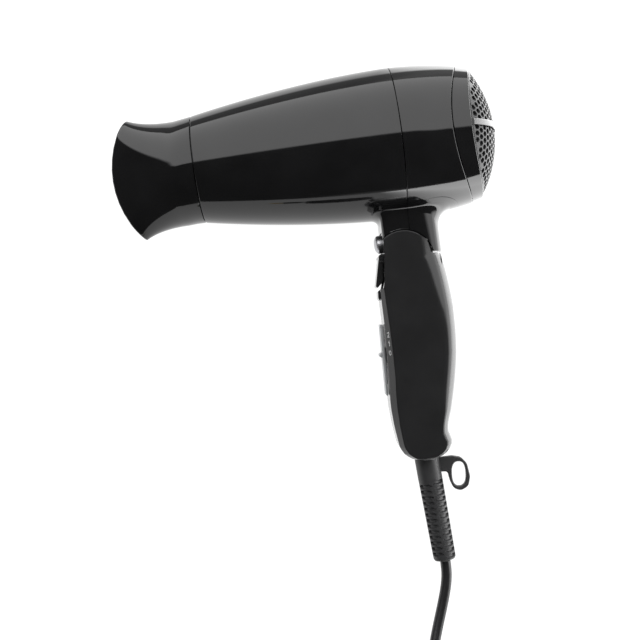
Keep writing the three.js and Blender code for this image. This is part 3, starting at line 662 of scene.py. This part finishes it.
def shell_profile(low, high, wall, steps, lip=0.22, mouth=None):
    """Outside line from low to high with small rounded rims, then the inside line back."""
    outside = [(x, barrel_radius(x)) for x in spaced(low + lip, high - lip, steps)]
    turn = [(lip * (1 - math.sin(a)), lip * (1 - math.cos(a))) for a in (0.5, 1.05, 1.57)]
    rim = [(high - x, barrel_radius(high) - r) for x, r in turn]
    back = [(low + x, barrel_radius(low) - r) for x, r in reversed(turn)]
    inner_low = low if mouth is None else low + mouth[1]
    inside = [(x, barrel_radius(x) - wall) for x in spaced(high, inner_low, max(6, steps // 2))]
    profile = [*outside, *rim, *inside]
    if mouth:
        radius, depth = mouth
        profile += [(low + depth, radius), (low + 0.8, radius)]
        profile += [(low + 0.2, radius + 0.3), (low, radius + 0.9)]
    return [*profile, *back]


def neck_mesh():
    """The neck that drops out of the barrel: its walls sweep into the barrel with hollow fillets."""
    count, front, rear, rim = 168, -9.3, 20.3, -58.6
    corners = [(front, -HALF_WIDTH), (rear, -HALF_WIDTH), (rear, HALF_WIDTH), (front, HALF_WIDTH)]
    section = rounded(corners, (4.0, 9.0, 9.0, 4.0), 10)
    # even out the spacing, and let the walls' directions turn slowly round the corners
    pts = np.array(section + [section[0]])
    lengths = np.concatenate([[0], np.cumsum(np.linalg.norm(np.diff(pts, axis=0), axis=1))])
    places = np.linspace(0, lengths[-1], count, endpoint=False)
    wall = np.stack([np.interp(places, lengths, pts[:, k]) for k in range(2)], axis=1)
    normals = np.roll(wall, -1, axis=0) - np.roll(wall, 1, axis=0)
    normals = np.stack([normals[:, 1], -normals[:, 0]], axis=1)
    normals /= np.linalg.norm(normals, axis=1)[:, None]
    for _ in range(40):
        normals = (np.roll(normals, 1, axis=0) + 2 * normals + np.roll(normals, -1, axis=0)) / 4
        normals /= np.linalg.norm(normals, axis=1)[:, None]
    rows = 22
    rings = [[] for _ in range(rows + 5)]
    for (x, z), (nx, nz) in zip(wall, normals):
        rearward = max(0.0, nx) ** 1.5
        sideways = abs(nz) ** 2
        spread_out = lerp(lerp(5.2, 4.6, sideways), 11.5, rearward)
        drop = lerp(lerp(5.0, 5.5, sideways), 13.0, rearward)
        foot_x, foot_z = x + nx * spread_out, z + nz * spread_out
        radius = barrel_radius(foot_x)
        foot_y = -math.sqrt(max(0.0, radius**2 - foot_z**2))
        foot = Vector((foot_x, foot_y, foot_z))  # where the fillet meets the barrel
        outward = Vector((0, foot_y, foot_z)).normalized()
        out_way = Vector((nx, 0, nz))
        out_way = (out_way - outward * out_way.dot(outward)).normalized()
        reach = foot_y - drop
        wall_top = -math.sqrt(max(0.0, barrel_radius(x) ** 2 - z**2))
        top = min(reach, wall_top - 1.5)
        start = Vector((x, top, z))
        pull = (foot - start).length * 0.5
        c1, c2 = start + Vector((0, pull, 0)), foot - out_way * pull
        bottom = rim
        if abs(x) < SADDLE_RADIUS:
            bottom = max(rim, PIVOT[1] + math.sqrt(max(0.0, SADDLE_RADIUS**2 - x**2)))
        line = [Vector((x, bottom, z)) + Vector((-nx * 0.35, 0, -nz * 0.35)), Vector((x, bottom + 0.35, z))]
        for k in range(rows + 1):
            t = k / rows
            u = 1 - t
            line.append(start * u**3 + c1 * 3 * t * u**2 + c2 * 3 * t * t * u + foot * t**3)
        line.append(foot - outward * 0.8)
        line.append(foot - outward * 2.2 - out_way * 3)
        for ring, point in zip(rings, line):
            ring.append(tuple(point))
    return rings_mesh("neck", rings)


def barrel():
    saddle = rod("saddle", [(-25, SADDLE_RADIUS), (25, SADDLE_RADIUS)], "z", (*PIVOT, 0), 128)
    knuckle_front = box_mesh("o", (-14, -56, -8.9), (-6.4, -45.3, 8.9))
    knuckle_rear = box_mesh("o", (-6.5, -56, -8.9), (9.3, -42.5, 8.9))
    hollow = box_mesh("o", (-7.1, -56, -11.8), (18.1, -30, 11.8))
    hollow = cut(hollow, rod("saddle", [(-25, 17.8), (25, 17.8)], "z", (*PIVOT, 0), 96))
    neck = cut(neck_mesh(), saddle)
    neck = cut(cut(neck, hollow), knuckle_front)
    neck = cut(neck, knuckle_rear)
    front_neck, rear_neck = halves(neck, 0, SEAM_X, SEAM_X + GAP)
    front = lathe("front", shell_profile(BARREL_FRONT, SEAM_X, WALL, 64, mouth=(26, 14)), 160)
    rear = bowed(lathe("rear", shell_profile(SEAM_X + GAP, HOUSING_REAR, WALL, 28), 160))
    front, rear = joined(front, front_neck), joined(rear, rear_neck)
    piece("barrel_front_shell", front, "barrel", "gloss_shell", ("front_barrel_shell",), smooth=30)
    piece("barrel_rear_housing", rear, "barrel", "gloss_shell", ("rear_housing",), smooth=30)


def joined(*meshes):
    """Several meshes in one, not merged."""
    bm = bmesh.new()
    for mesh in meshes:
        bm.from_mesh(mesh)
    out = bpy.data.meshes.new("joined")
    bm.to_mesh(out)
    bm.free()
    return out


barrel()

# ------------------------------------------------------------------ nozzle


def nozzle_ring(t, inset, steps=40, flats=8):
    """Points round the nozzle: t is 0 at the barrel and 1 at the slot. Flat sides, round above and below."""
    rear = BARREL_FRONT - 0.4
    from_barrel = 33 * t
    height = 27.1 + 0.0081 * (10 - from_barrel) ** 2 * (1 if from_barrel > 10 else 0.6)
    pinch = (t * t / 0.7 if t < 0.35 else t - 0.175) / 0.825  # eases in, then straight to the slot
    width = lerp(27.3, 7.6, pinch)
    end = min(height - 0.3, 1.12 * width)
    flat = height - end
    middle = (-0.6 - 0.8 * t) * min(1, 4 * t)
    ring = []
    for side in (1, -1):
        for angle in spaced(0, math.pi, steps):
            up, out = (end - inset) * math.sin(angle), (width - inset) * math.cos(angle)
            ring.append((side * (flat + up), side * out))
        for k in range(1, flats):
            ring.append((side * flat * (1 - 2 * k / flats), -side * (width - inset)))
    edge = [-142.3 + 50 - math.sqrt(50**2 - min(49.0, abs(middle + y)) ** 2) for y, z in ring]
    return [(lerp(rear, tip, t), middle + y, z) for (y, z), tip in zip(ring, edge)]


def nozzle():
    wall = 1.7
    stations = [0.0, 0.006, 0.02, *spaced(0.05, 0.95, 22), 0.985, 0.996, 1.0]
    outer = []
    for t in stations:
        near_rear, near_tip = max(0.0, 1 - t / 0.012), max(0.0, (t - 0.985) / 0.015)
        outer.append(nozzle_ring(t, 0.35 * near_rear**2 + 0.4 * near_tip**2))
    inside = (1.0, 0.985, *spaced(0.95, 0.1, 14), 0.0)
    inner = [nozzle_ring(t, wall - (0.4 if t == 1 else 0)) for t in inside]
    skin = rings_mesh("nozzle", [*outer, *inner], loop=True)
    rear = BARREL_FRONT - 0.4
    profile = ((-1.6, 22.4), (-1.6, 26.2), (-0.1, 26.2), (-0.1, 24), (8, 24), (8.4, 23.7), (8.4, 22.4))
    spigot = lathe("spigot", [(rear + x, r) for x, r in profile], 96)
    piece("nozzle_body", joined(skin, spigot), "nozzle", "gloss_shell", ("nozzle_concentrator",), smooth=30)


nozzle()

# ------------------------------------------------------------------ rear ring and grille


DOME_RADIUS, DOME_TOP = 56.8, 55.8


def dome_at(r):
    """Place along the barrel of the grille's dome, at a distance r from its middle."""
    return DOME_TOP - DOME_RADIUS + math.sqrt(DOME_RADIUS**2 - r * r)


def rear_ring():
    corners = [(39.62, 35.75), (RING_REAR, 34.5), (RING_REAR, 33.15), (42, 32.5), (31.5, 31.6), (31.5, 33),
               (39.62, 33.2)]
    profile = rounded(corners, (0.15, 0.3, 0.2, 0, 0, 0, 0), 4)
    line = []
    for i, (x, r) in enumerate(profile):  # the long slopes need points between, to follow the bow
        x1, r1 = profile[(i + 1) % len(profile)]
        parts = max(1, int(math.hypot(x1 - x, r1 - r) / 1.5))
        line += [(lerp(x, x1, k / parts), lerp(r, r1, k / parts)) for k in range(parts)]
    ring = bowed(lathe("ring", line, 160))
    piece("rear_ring", ring, "rear_cap", "gloss_shell", ("rear_filter_cap",), smooth=30)


def grille():
    """A domed sheet with rows of small six-sided holes."""
    pitch, hole, rim, thick = 3.2, 1.42, 32.9, 1.5
    bm = bmesh.new()
    cell = pitch / math.sqrt(3)
    rows = int(rim / (pitch * math.sqrt(0.75))) + 2
    for row in range(-rows, rows + 1):
        for column in range(-12, 13):
            y = (column + (0.5 if row % 2 else 0)) * pitch
            z = row * pitch * math.sqrt(0.75)
            if math.hypot(y, z) > rim + 1.9:
                continue
            corners = [math.radians(60 * k + 30) for k in range(6)]
            outer = [bm.verts.new((0, y + cell * math.cos(a), z + cell * math.sin(a))) for a in corners]
            if math.hypot(y, z) > rim - 0.6:
                bm.faces.new(outer)
                continue
            inner = []
            for a in corners:
                hy, hz = y + hole * math.cos(a), z + hole * math.sin(a)
                keep = min(1.0, (rim - 0.45) / math.hypot(hy, hz))
                inner.append(bm.verts.new((0, hy * keep, hz * keep)))
            for k in range(6):
                bm.faces.new((outer[k], outer[(k + 1) % 6], inner[(k + 1) % 6], inner[k]))
    bmesh.ops.remove_doubles(bm, verts=bm.verts, dist=0.02)
    bmesh.ops.triangulate(bm, faces=[f for f in bm.faces if len(f.verts) == 6])
    for vertex in bm.verts:
        r = math.hypot(vertex.co.y, vertex.co.z)
        if r > rim:
            vertex.co.y *= rim / r
            vertex.co.z *= rim / r
    bmesh.ops.dissolve_degenerate(bm, edges=bm.edges, dist=0.02)
    bmesh.ops.remove_doubles(bm, verts=bm.verts, dist=0.02)
    bmesh.ops.recalc_face_normals(bm, faces=bm.faces)
    sheet = bm.faces[:]
    made = bmesh.ops.extrude_face_region(bm, geom=sheet)
    moved = {v for v in made["geom"] if isinstance(v, bmesh.types.BMVert)}
    for vertex in moved:
        vertex.co.x = 1
    bmesh.ops.recalc_face_normals(bm, faces=bm.faces)
    sharp = [e for e in bm.edges if e.is_manifold and e.calc_face_angle(0) > 1.2]
    edges = [e for e in sharp if all(v.co.x > 0.5 for v in e.verts)]  # the holes' outer edges
    bmesh.ops.bevel(bm, geom=edges, offset=0.2, segments=2, profile=0.6, affect="EDGES", clamp_overlap=True)
    for vertex in bm.verts:
        r = math.hypot(vertex.co.y, vertex.co.z)
        vertex.co.x = dome_at(r) - thick * (1 - vertex.co.x)
    mesh = bpy.data.meshes.new("grille")
    bm.to_mesh(mesh)
    bm.free()
    profile = [(41, 31.0), (41, 32.0), (44.9, 32.8), (45.2, 32.8), (45.2, 32.0), (43, 31.0)]
    dome = bowed(joined(mesh, lathe("skirt", profile, 128)))
    piece("grille_dome", dome, "rear_cap", "dark_plastic", ("intake_grille",), material=GRILLE_BLACK,
          smooth=35)


def band():
    """A flat bar across the middle of the grille, from side to side."""
    rings = []
    for z in spaced(-33.9, 33.9, 60):
        x = dome_at(math.hypot(z, 2.2)) - 6.2 * (z / 36) ** 2
        low, high = x + 0.6, x + 1.8
        section = rounded([(low, -0.8), (high, -0.8), (high, 2.2), (low, 2.2)], (0, 0.5, 0.5, 0), 3)
        rings.append([(px, py, z) for px, py in section])
    piece("grille_bar", rings_mesh("bar", rings), "rear_cap", "gloss_shell", ("grille_band",),
          material=MATERIALS["dark_plastic"], smooth=30)


rear_ring()
grille()
band()

# ------------------------------------------------------------------ handle

HANDLE_OUTLINE = (  # (height, front, rear), down the handle
    (-59.15, -15.2, 20.0), (-62, -15.0, 20.8), (-66.5, -14.6, 21.6), (-71.2, -14.2, 22.2),
    (-77, -14.0, 22.8), (-82, -14.0, 23.15), (-87, -14.0, 23.4), (-92.5, -14.05, 23.3),
    (-98.5, -14.25, 23.1), (-104, -14.5, 22.7), (-110.3, -14.85, 22.1), (-115.5, -15.1, 21.2),
    (-120.5, -15.35, 20.2), (-125.5, -15.8, 19.1), (-130.7, -16.15, 17.8), (-135.5, -16.25, 16.45),
    (-139.5, -16.0, 15.3), (-143, -15.85, 13.9), (-146, -15.55, 12.9), (-148.5, -15.25, 12.35),
    (-150.5, -15.0, 12.3), (-152.8, -14.7, 12.95), (-154.8, -14.4, 13.5), (-156.5, -13.7, 13.3),
    (-158.8, -12.4, 12.1), (-160.5, -10.5, 10.4), (-161.8, -8.6, 8.2), (-162.7, -6.0, 5.6),
    (-163.2, -3.4, 3.2),
)


def handle_edge(y, column):
    """The handle's front (column 1) or rear (column 2) at a height."""
    return float(np.interp(-y, [-row[0] for row in HANDLE_OUTLINE], [row[column] for row in HANDLE_OUTLINE]))


def handle_section(y, front, rear, inset=0.0):
    """One cross-section: a flat front strip, a bevel, flat sides and a full, rounded rear."""
    close = smoothstep(-y, 160.8, 163.2)
    half = HALF_WIDTH - 1.1 * close**2 - inset
    front, rear = front + inset, rear - inset
    width = rear - front
    strip = min(front_strip(y) - 0.5 * inset, half - 1)
    bevel = min(front_bevel(y), 0.3 * width)
    reach = lerp(lerp(11, 8.5, smoothstep(-y, 66, 108)), 5.0, smoothstep(-y, 124, 149))
    reach = min(reach, 0.42 * width)  # length of the rounding towards the rear
    corners = [(front, 0), (front, strip), (front + bevel, half), (rear - reach, half)]
    corners = rounded(corners, (0, 1.2, 1.4, 0), 5, closed=False)
    back = []
    for k in range(1, 17):
        a = math.pi / 2 * k / 16
        back.append((rear - reach + reach * math.sin(a), half * math.cos(a) ** 0.8 if k < 16 else 0.0))
    left = corners + back
    return left + [(x, -z) for x, z in reversed(left[1:-1])]


def front_strip(y):
    """Half width of the flat front strip."""
    return lerp(11.8, 11.4, smoothstep(-y, 78, 150))


def front_bevel(y):
    """Width, in the side view, of the bevel between the front strip and the side."""
    return lerp(2.2, lerp(3.4, 2.4, smoothstep(-y, 130, 160)), smoothstep(-y, 78, 120))


def handle_loft(name, inset=0.0, low=-163.2, high=-59.15):
    rows = []
    near_end = [y for y, _, _ in HANDLE_OUTLINE if low <= y <= high and y < -150]
    heights = sorted({*spaced(low, high, int((high - low) / 1.6)), *near_end})
    for y in heights:
        section = handle_section(y, handle_edge(y, 1), handle_edge(y, 2), inset)
        rows.append([(x, y, z) for x, z in section])
    return rings_mesh(name, rows)


def handle():
    turns = spaced(math.pi / 2, 0, 5)
    rim = [(HALF_WIDTH - 0.5 * (1 - math.cos(a)), HEAD_RADIUS - 0.5 * (1 - math.sin(a))) for a in turns]
    head = rod("head", [*[(-z, r) for z, r in reversed(rim)], *rim], "z", (*PIVOT, 0), 128)
    top_section = handle_section(-59.15, -22, 20)
    sides = rings_mesh("sides", [[(x, y, z) for x, z in top_section] for y in (-80, -40)])
    head = combine(head, [sides], "INTERSECT")  # rounded to the rear like the grip below it
    loft = handle_loft("handle")
    # the front is cut back behind the latch lever
    behind_lever = [(-30, -50), (-9.2, -50), (-9.6, -56.5), (-11.4, -71.2), (-12.2, -73.6), (-13.8, -74.5),
                    (-14.05, -84), (-30, -84)]
    loft = cut(loft, slab("cut", behind_lever, -20, 20))
    behind_button = [(-30, -40), (-9.05, -40), (-9.3, -48), (-9.6, -56.5), (-11.4, -71.2), (-30, -75)]
    body = union(cut(head, slab("cut", behind_button, -20, 20)), loft)
    slot = rod("slot", [(-10.4, FORK_RADIUS), (10.4, FORK_RADIUS)], "z", (*PIVOT, 0), 128)
    room = handle_loft("room", 2.6, -160.2, -84)
    pin = rod("pin", [(-13.6, 2.8), (13.6, 2.8)], "z", (*PIVOT, 0), 32)
    switch_slot = box_mesh("slot", (-20, -123, -2.2), (-10, -92.5, 2.2))
    recess = rod("recess", [(-20, 1.9), (-14.9, 1.9)], "x", (0, -126.6, 9.4), 24)
    relief_bore = rod("bore", [(-172, 6.4), (-156, 6.4)], "y", (SLEEVE_TOP[0] + 0.3, 0, 0), 48)
    passage = box_mesh("passage", (-6, -90, -10.4), (14, -75, 10.4))
    tools = [slot, room, pin, switch_slot, relief_bore, passage, recess]
    for x, y in ((9, -96), (6.5, -134)):
        tools.append(rod("bore", [(-17, 3), (-12.9, 3)], "z", (x, y, 0), 32))
        tools.append(rod("bore", [(-13.5, 1.6), (9, 1.6)], "z", (x, y, 0), 24))
    for tool in tools:
        body = cut(body, tool)
    right, left = halves(body, 2, -GAP / 2, GAP / 2)
    piece("handle_shell_left", left, "handle", "satin_handle", ("handle_left_shell",), smooth=24)
    piece("handle_shell_right", right, "handle", "satin_handle", ("handle_right_shell",), smooth=24)


handle()


def switch_slider():
    outline = [(-16.05, -91.8), (-16.35, -99), (-16.7, -107), (-17.05, -116), (-17.5, -128.4),
               (-16.45, -128.8), (-15.6, -116), (-15.2, -107), (-14.75, -98), (-14.6, -92)]
    plate = soften(slab("plate", outline, -5.8, 5.8), 0.35, 35, 2)
    ridge = rod("ridge", [(-5.2, 0.9), (-4.9, 1.2), (4.9, 1.2), (5.2, 0.9)], "z", (-17.0, -107.7, 0), 32)
    stem = box_mesh("stem", (-16.2, -112, -1.8), (-12.2, -104, 1.8))
    piece("switch_slider", joined(plate, ridge, stem), "slider", "silver", ("slider_plate",), smooth=35)


def marks():
    """The three settings beside the slider, in plain strokes on the handle's bevel."""
    digits = {
        "2": ((0, 0.85), (0.25, 1), (0.75, 1), (1, 0.8), (0.9, 0.55), (0, 0), (1, 0)),
        "1": ((0.2, 0.75), (0.6, 1), (0.6, 0)),
        "0": ((0.5, 1), (0.1, 0.8), (0, 0.5), (0.1, 0.2), (0.5, 0), (0.9, 0.2), (1, 0.5), (0.9, 0.8), (0.5, 1)),
    }
    height, width, stroke = 2.2, 1.3, 0.2
    box = ((3, 2, 1, 0), (4, 5, 6, 7), (0, 1, 5, 4), (1, 2, 6, 5), (2, 3, 7, 6), (3, 0, 4, 7))
    for text, y in (("2", -97.5), ("1", -101.9), ("0", -106.7)):
        front = handle_edge(y, 1)
        a, b = Vector((front, 0, front_strip(y))), Vector((front + front_bevel(y), 0, HALF_WIDTH))
        along_bevel = (b - a).normalized()
        outward = Vector((-along_bevel.z, 0, along_bevel.x))
        middle = (a + b) / 2 + outward * 0.012
        points, faces, line = [], [], []
        for u, v in digits[text]:
            line.append(Vector((0, (v - 0.5) * height, 0)) + along_bevel * ((u - 0.5) * width))
        for p, q in zip(line[:-1], line[1:]):
            way = (q - p).normalized()
            side = way.cross(outward).normalized() * stroke
            p2, q2 = p - way * stroke, q + way * stroke
            base = len(points)
            for lift in (-0.2, 0.09):
                for corner in (p2 - side, p2 + side, q2 + side, q2 - side):
                    points.append(middle + Vector((0, y, 0)) + corner + outward * lift)
            faces += [tuple(base + i for i in face) for face in box]
        mesh = make_mesh("mark", points, faces)
        piece(f"setting_mark_{text}", mesh, "handle", "silver", (), material=MARKS, smooth=20)


def latch_and_button():
    corners = [(-11.9, -56.2), (-15.6, -72.3), (-14.7, -73.1), (-11.6, -70.3), (-10.4, -61.8), (-9.2, -60.2),
               (-9.2, -57)]
    outline = rounded(corners, (0.8, 0.7, 0.4, 1.5, 1.0, 0.4, 0.8), 4)
    lever = soften(slab("lever", outline, -7.2, 7.2), 0.45, 50, 2)
    piece("latch_lever", lever, "latch", "satin_handle", ("fold_latch",), smooth=35)
    corners = [(-14.8, -74.6), (-15.1, -78.3), (-14.6, -79.6), (-14.35, -79.6), (-13.5, -77.2),
               (-12.9, -76.3)]
    strike = soften(slab("strike", rounded(corners, 0.3, 3), -7, 7), 0.2, 50, 2)
    piece("latch_catch", strike, "handle", "satin_handle", ("latch_strike",), smooth=35)
    profile = [(-13.3, 0.02)]
    for k in range(1, 13):
        a = math.pi / 2 * k / 12
        profile.append((-13.3 + 2.3 * (1 - math.cos(a)), 4.65 * math.sin(a) ** 0.9))
    profile += [(-10.2, 4.65), (-9.3, 4.55), (-9.2, 3.8), (-5.2, 3.8), (-5.2, 3.1), (-8.9, 3.1), (-8.9, 0.02)]
    cap = rod("cap", profile, "x", (0, BUTTON_Y, 0), 64)
    piece("cool_shot_cap", cap, "cool_shot", "chrome", ("cool_shot_button",),
          material=MATERIALS["satin_chrome"], smooth=35)


def knuckle():
    """The fixed half of the hinge: a drum on the fold pin, and the block that holds button and latch."""
    half = 8.6
    profile = [(-half, 11.6), (-half + 0.6, 12.2), (half - 0.6, 12.2), (half, 11.6)]
    drum = rod("drum", profile, "z", (*PIVOT, 0), 96)
    corners = [(-9.3, -58), (9, -58), (9, -45.6), (-9.3, -45.6)]
    front = slab("front", rounded(corners, (0, 0, 0, 0.8), 4), -half, half, 0.6)
    top = box_mesh("top", (-6.1, -47.5, -half), (9, -41, half))
    foot = box_mesh("foot", (-6.1, -42.6, -11.4), (13, -40.4, 11.4))
    body = union(union(union(drum, front), top), foot)
    body = cut(body, box_mesh("lever_room", (-15, -75, -10), (-8.7, -56.4, 10)))
    body = cut(body, box_mesh("front_plane", (-15, -57, -10), (-9.3, -40, 10)))
    ear_corners = [(-12.4, -60.6), (-8, -60.6), (-8, -56.2), (-12.4, -56.2)]
    for side in (-1, 1):
        z = side * (half - 0.5)
        ear = slab("ear", rounded(ear_corners, (1.9, 0.2, 0.2, 1.9), 6), z - 0.5, z + 0.5, 0.2)
        body = union(body, ear)
    for tool in (
        rod("fold_pin", [(-10, 2.8), (10, 2.8)], "z", (*PIVOT, 0), 40),
        rod("button_bore", [(-10, 4.1), (-3.2, 4.1)], "x", (0, BUTTON_Y, 0), 48),
        rod("button_well", [(-10, 5), (-7.3, 5)], "x", (0, BUTTON_Y, 0), 64),
        box_mesh("microswitch_room", (-3.3, -54.2, -3.6), (5, -47.3, 3.6)),
        rod("latch_pin", [(-10, 1.2), (10, 1.2)], "z", (-10.8, -58.4, 0), 24),
    ):
        body = cut(body, tool)
    piece("hinge_block", body, "barrel", "dark_plastic", ("hinge_knuckle",), smooth=30)


knuckle()
switch_slider()
marks()
latch_and_button()

# ------------------------------------------------------------------ strain relief


def relief_radius(s):
    """Outer radius at a distance s below the handle."""
    return float(np.interp(s, (0, 10.5, 11.2, 48, 52.3, 53.1), (6.3, 6.3, 6.25, 5.85, 5.75, 5.3)))


SLOT_DEPTH = 1.3


def slot_depth(s, angle):
    """Depth of the slots: four columns round the sleeve, staggered by half a pitch, each flat at its top."""
    pitch, first, rows = 2.97, 12.4, 14
    column, across = int(angle / (math.pi / 2)), (angle / (math.pi / 2)) % 1.0
    across = (across - 0.5) / 0.43
    shift = 0.5 * pitch if column % 2 else 0.0
    row = round((s - first - shift) / pitch)
    if abs(across) >= 1 or not 0 <= row < rows - column % 2:
        return 0.0
    down = s - first - shift - row * pitch
    room = 1.0 * (math.sqrt(1 - across**2) if down > 0 else (1 - across**6))
    return SLOT_DEPTH * max(0.0, 1 - (down / max(0.05, room)) ** 6)


def strain_relief():
    """A rubber sleeve, smooth at its top and slotted below so that it bends, with a hanging loop."""
    turns = [2 * math.pi * k / 96 for k in range(96)]
    rings = [[(6.0 * math.cos(a), 2.0, 6.0 * math.sin(a)) for a in turns]]
    for s in spaced(0, SLEEVE_LENGTH, 320):
        radii = [relief_radius(s) - slot_depth(s, a) for a in turns]
        rings.append([(r * math.cos(a), -s, r * math.sin(a)) for r, a in zip(radii, turns)])
    sleeve = rings_mesh("sleeve", rings)
    flange = rod("flange", [(5.5, 7.0), (5.7, 7.2), (7.3, 7.2), (7.5, 7.0)], "y", (0, 0, 0), 64)
    stem = rod("stem", [(0.5, 6.0), (5.6, 6.0)], "y", (0, 0, 0), 64)
    parts = joined(sleeve, stem, flange)
    parts.transform(Matrix.Translation((*SLEEVE_TOP, 0)) @ Matrix.Rotation(SLEEVE_LEAN, 4, "Z"))
    corners = [(3, -164.3), (12.5, -164.2), (17, -165.4), (19.7, -169), (20.5, -176), (19.0, -180.9),
               (14.8, -182.8), (11.2, -181), (9.9, -177), (9.2, -172), (3, -171.4)]
    outside = rounded(corners, (0, 3, 4, 5, 5, 4, 4, 4, 4, 2, 0), 6)
    loop = soften(slab("loop", outside, -1.9, 1.9), 0.6, 60, 3)
    lean = math.radians(-4)
    rings = []
    flare = ((1.0, 0.0), (1.55, 0.25), (1.9, 0.6), (3, 1.2))  # the eye widens towards both faces
    for z, grow in (*[(-z, grow) for z, grow in reversed(flare)], *flare):
        ring = []
        for k in range(48):
            c, s = math.cos(2 * math.pi * k / 48), math.sin(2 * math.pi * k / 48)
            across = (3.6 + grow) * math.copysign(abs(c) ** 0.8, c)
            up = (6.3 + grow) * math.copysign(abs(s) ** 0.8, s)
            x = 14.9 + across * math.cos(lean) - up * math.sin(lean)
            ring.append((x, -173.9 + across * math.sin(lean) + up * math.cos(lean), z))
        rings.append(ring)
    loop = cut(loop, rings_mesh("eye", rings))
    piece("cord_strain_relief", joined(parts, loop), "handle", "rubber", ("strain_relief",), smooth=35)


strain_relief()

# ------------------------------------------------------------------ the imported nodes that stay

KEPT_NODES = {
    "dark_plastic": ("outlet_grille", "air_baffle", "fan_rotor", "cool_shot_microswitch", "switch_body",
                     "heat_diode", "live_lead", "nozzle_snap_ring"),
    "mica": ("mica_sleeve", "mica_cross"),
    "nichrome": ("heating_coil_front", "heating_coil_rear"),
    "pale_plastic": ("thermal_fuse", "motor_mount", "cord_clamp", "neutral_lead"),
    "brass": ("rectifier_board", "switch_terminal_1", "switch_terminal_2", "switch_terminal_3"),
    "steel": ("thermostat", "motor_can", "motor_shaft", "hinge_pin", "hinge_washer_left",
              "hinge_washer_right", "cool_shot_spring", "latch_leaf_spring", "handle_screw_upper",
              "handle_screw_lower", "filter_screen"),
    "blackened_steel": ("latch_pin",),
}
for finish, names in KEPT_NODES.items():
    for name in names:
        node = frame["nodes"][name]
        node.data.materials.clear()
        node.data.materials.append(MATERIALS[finish])
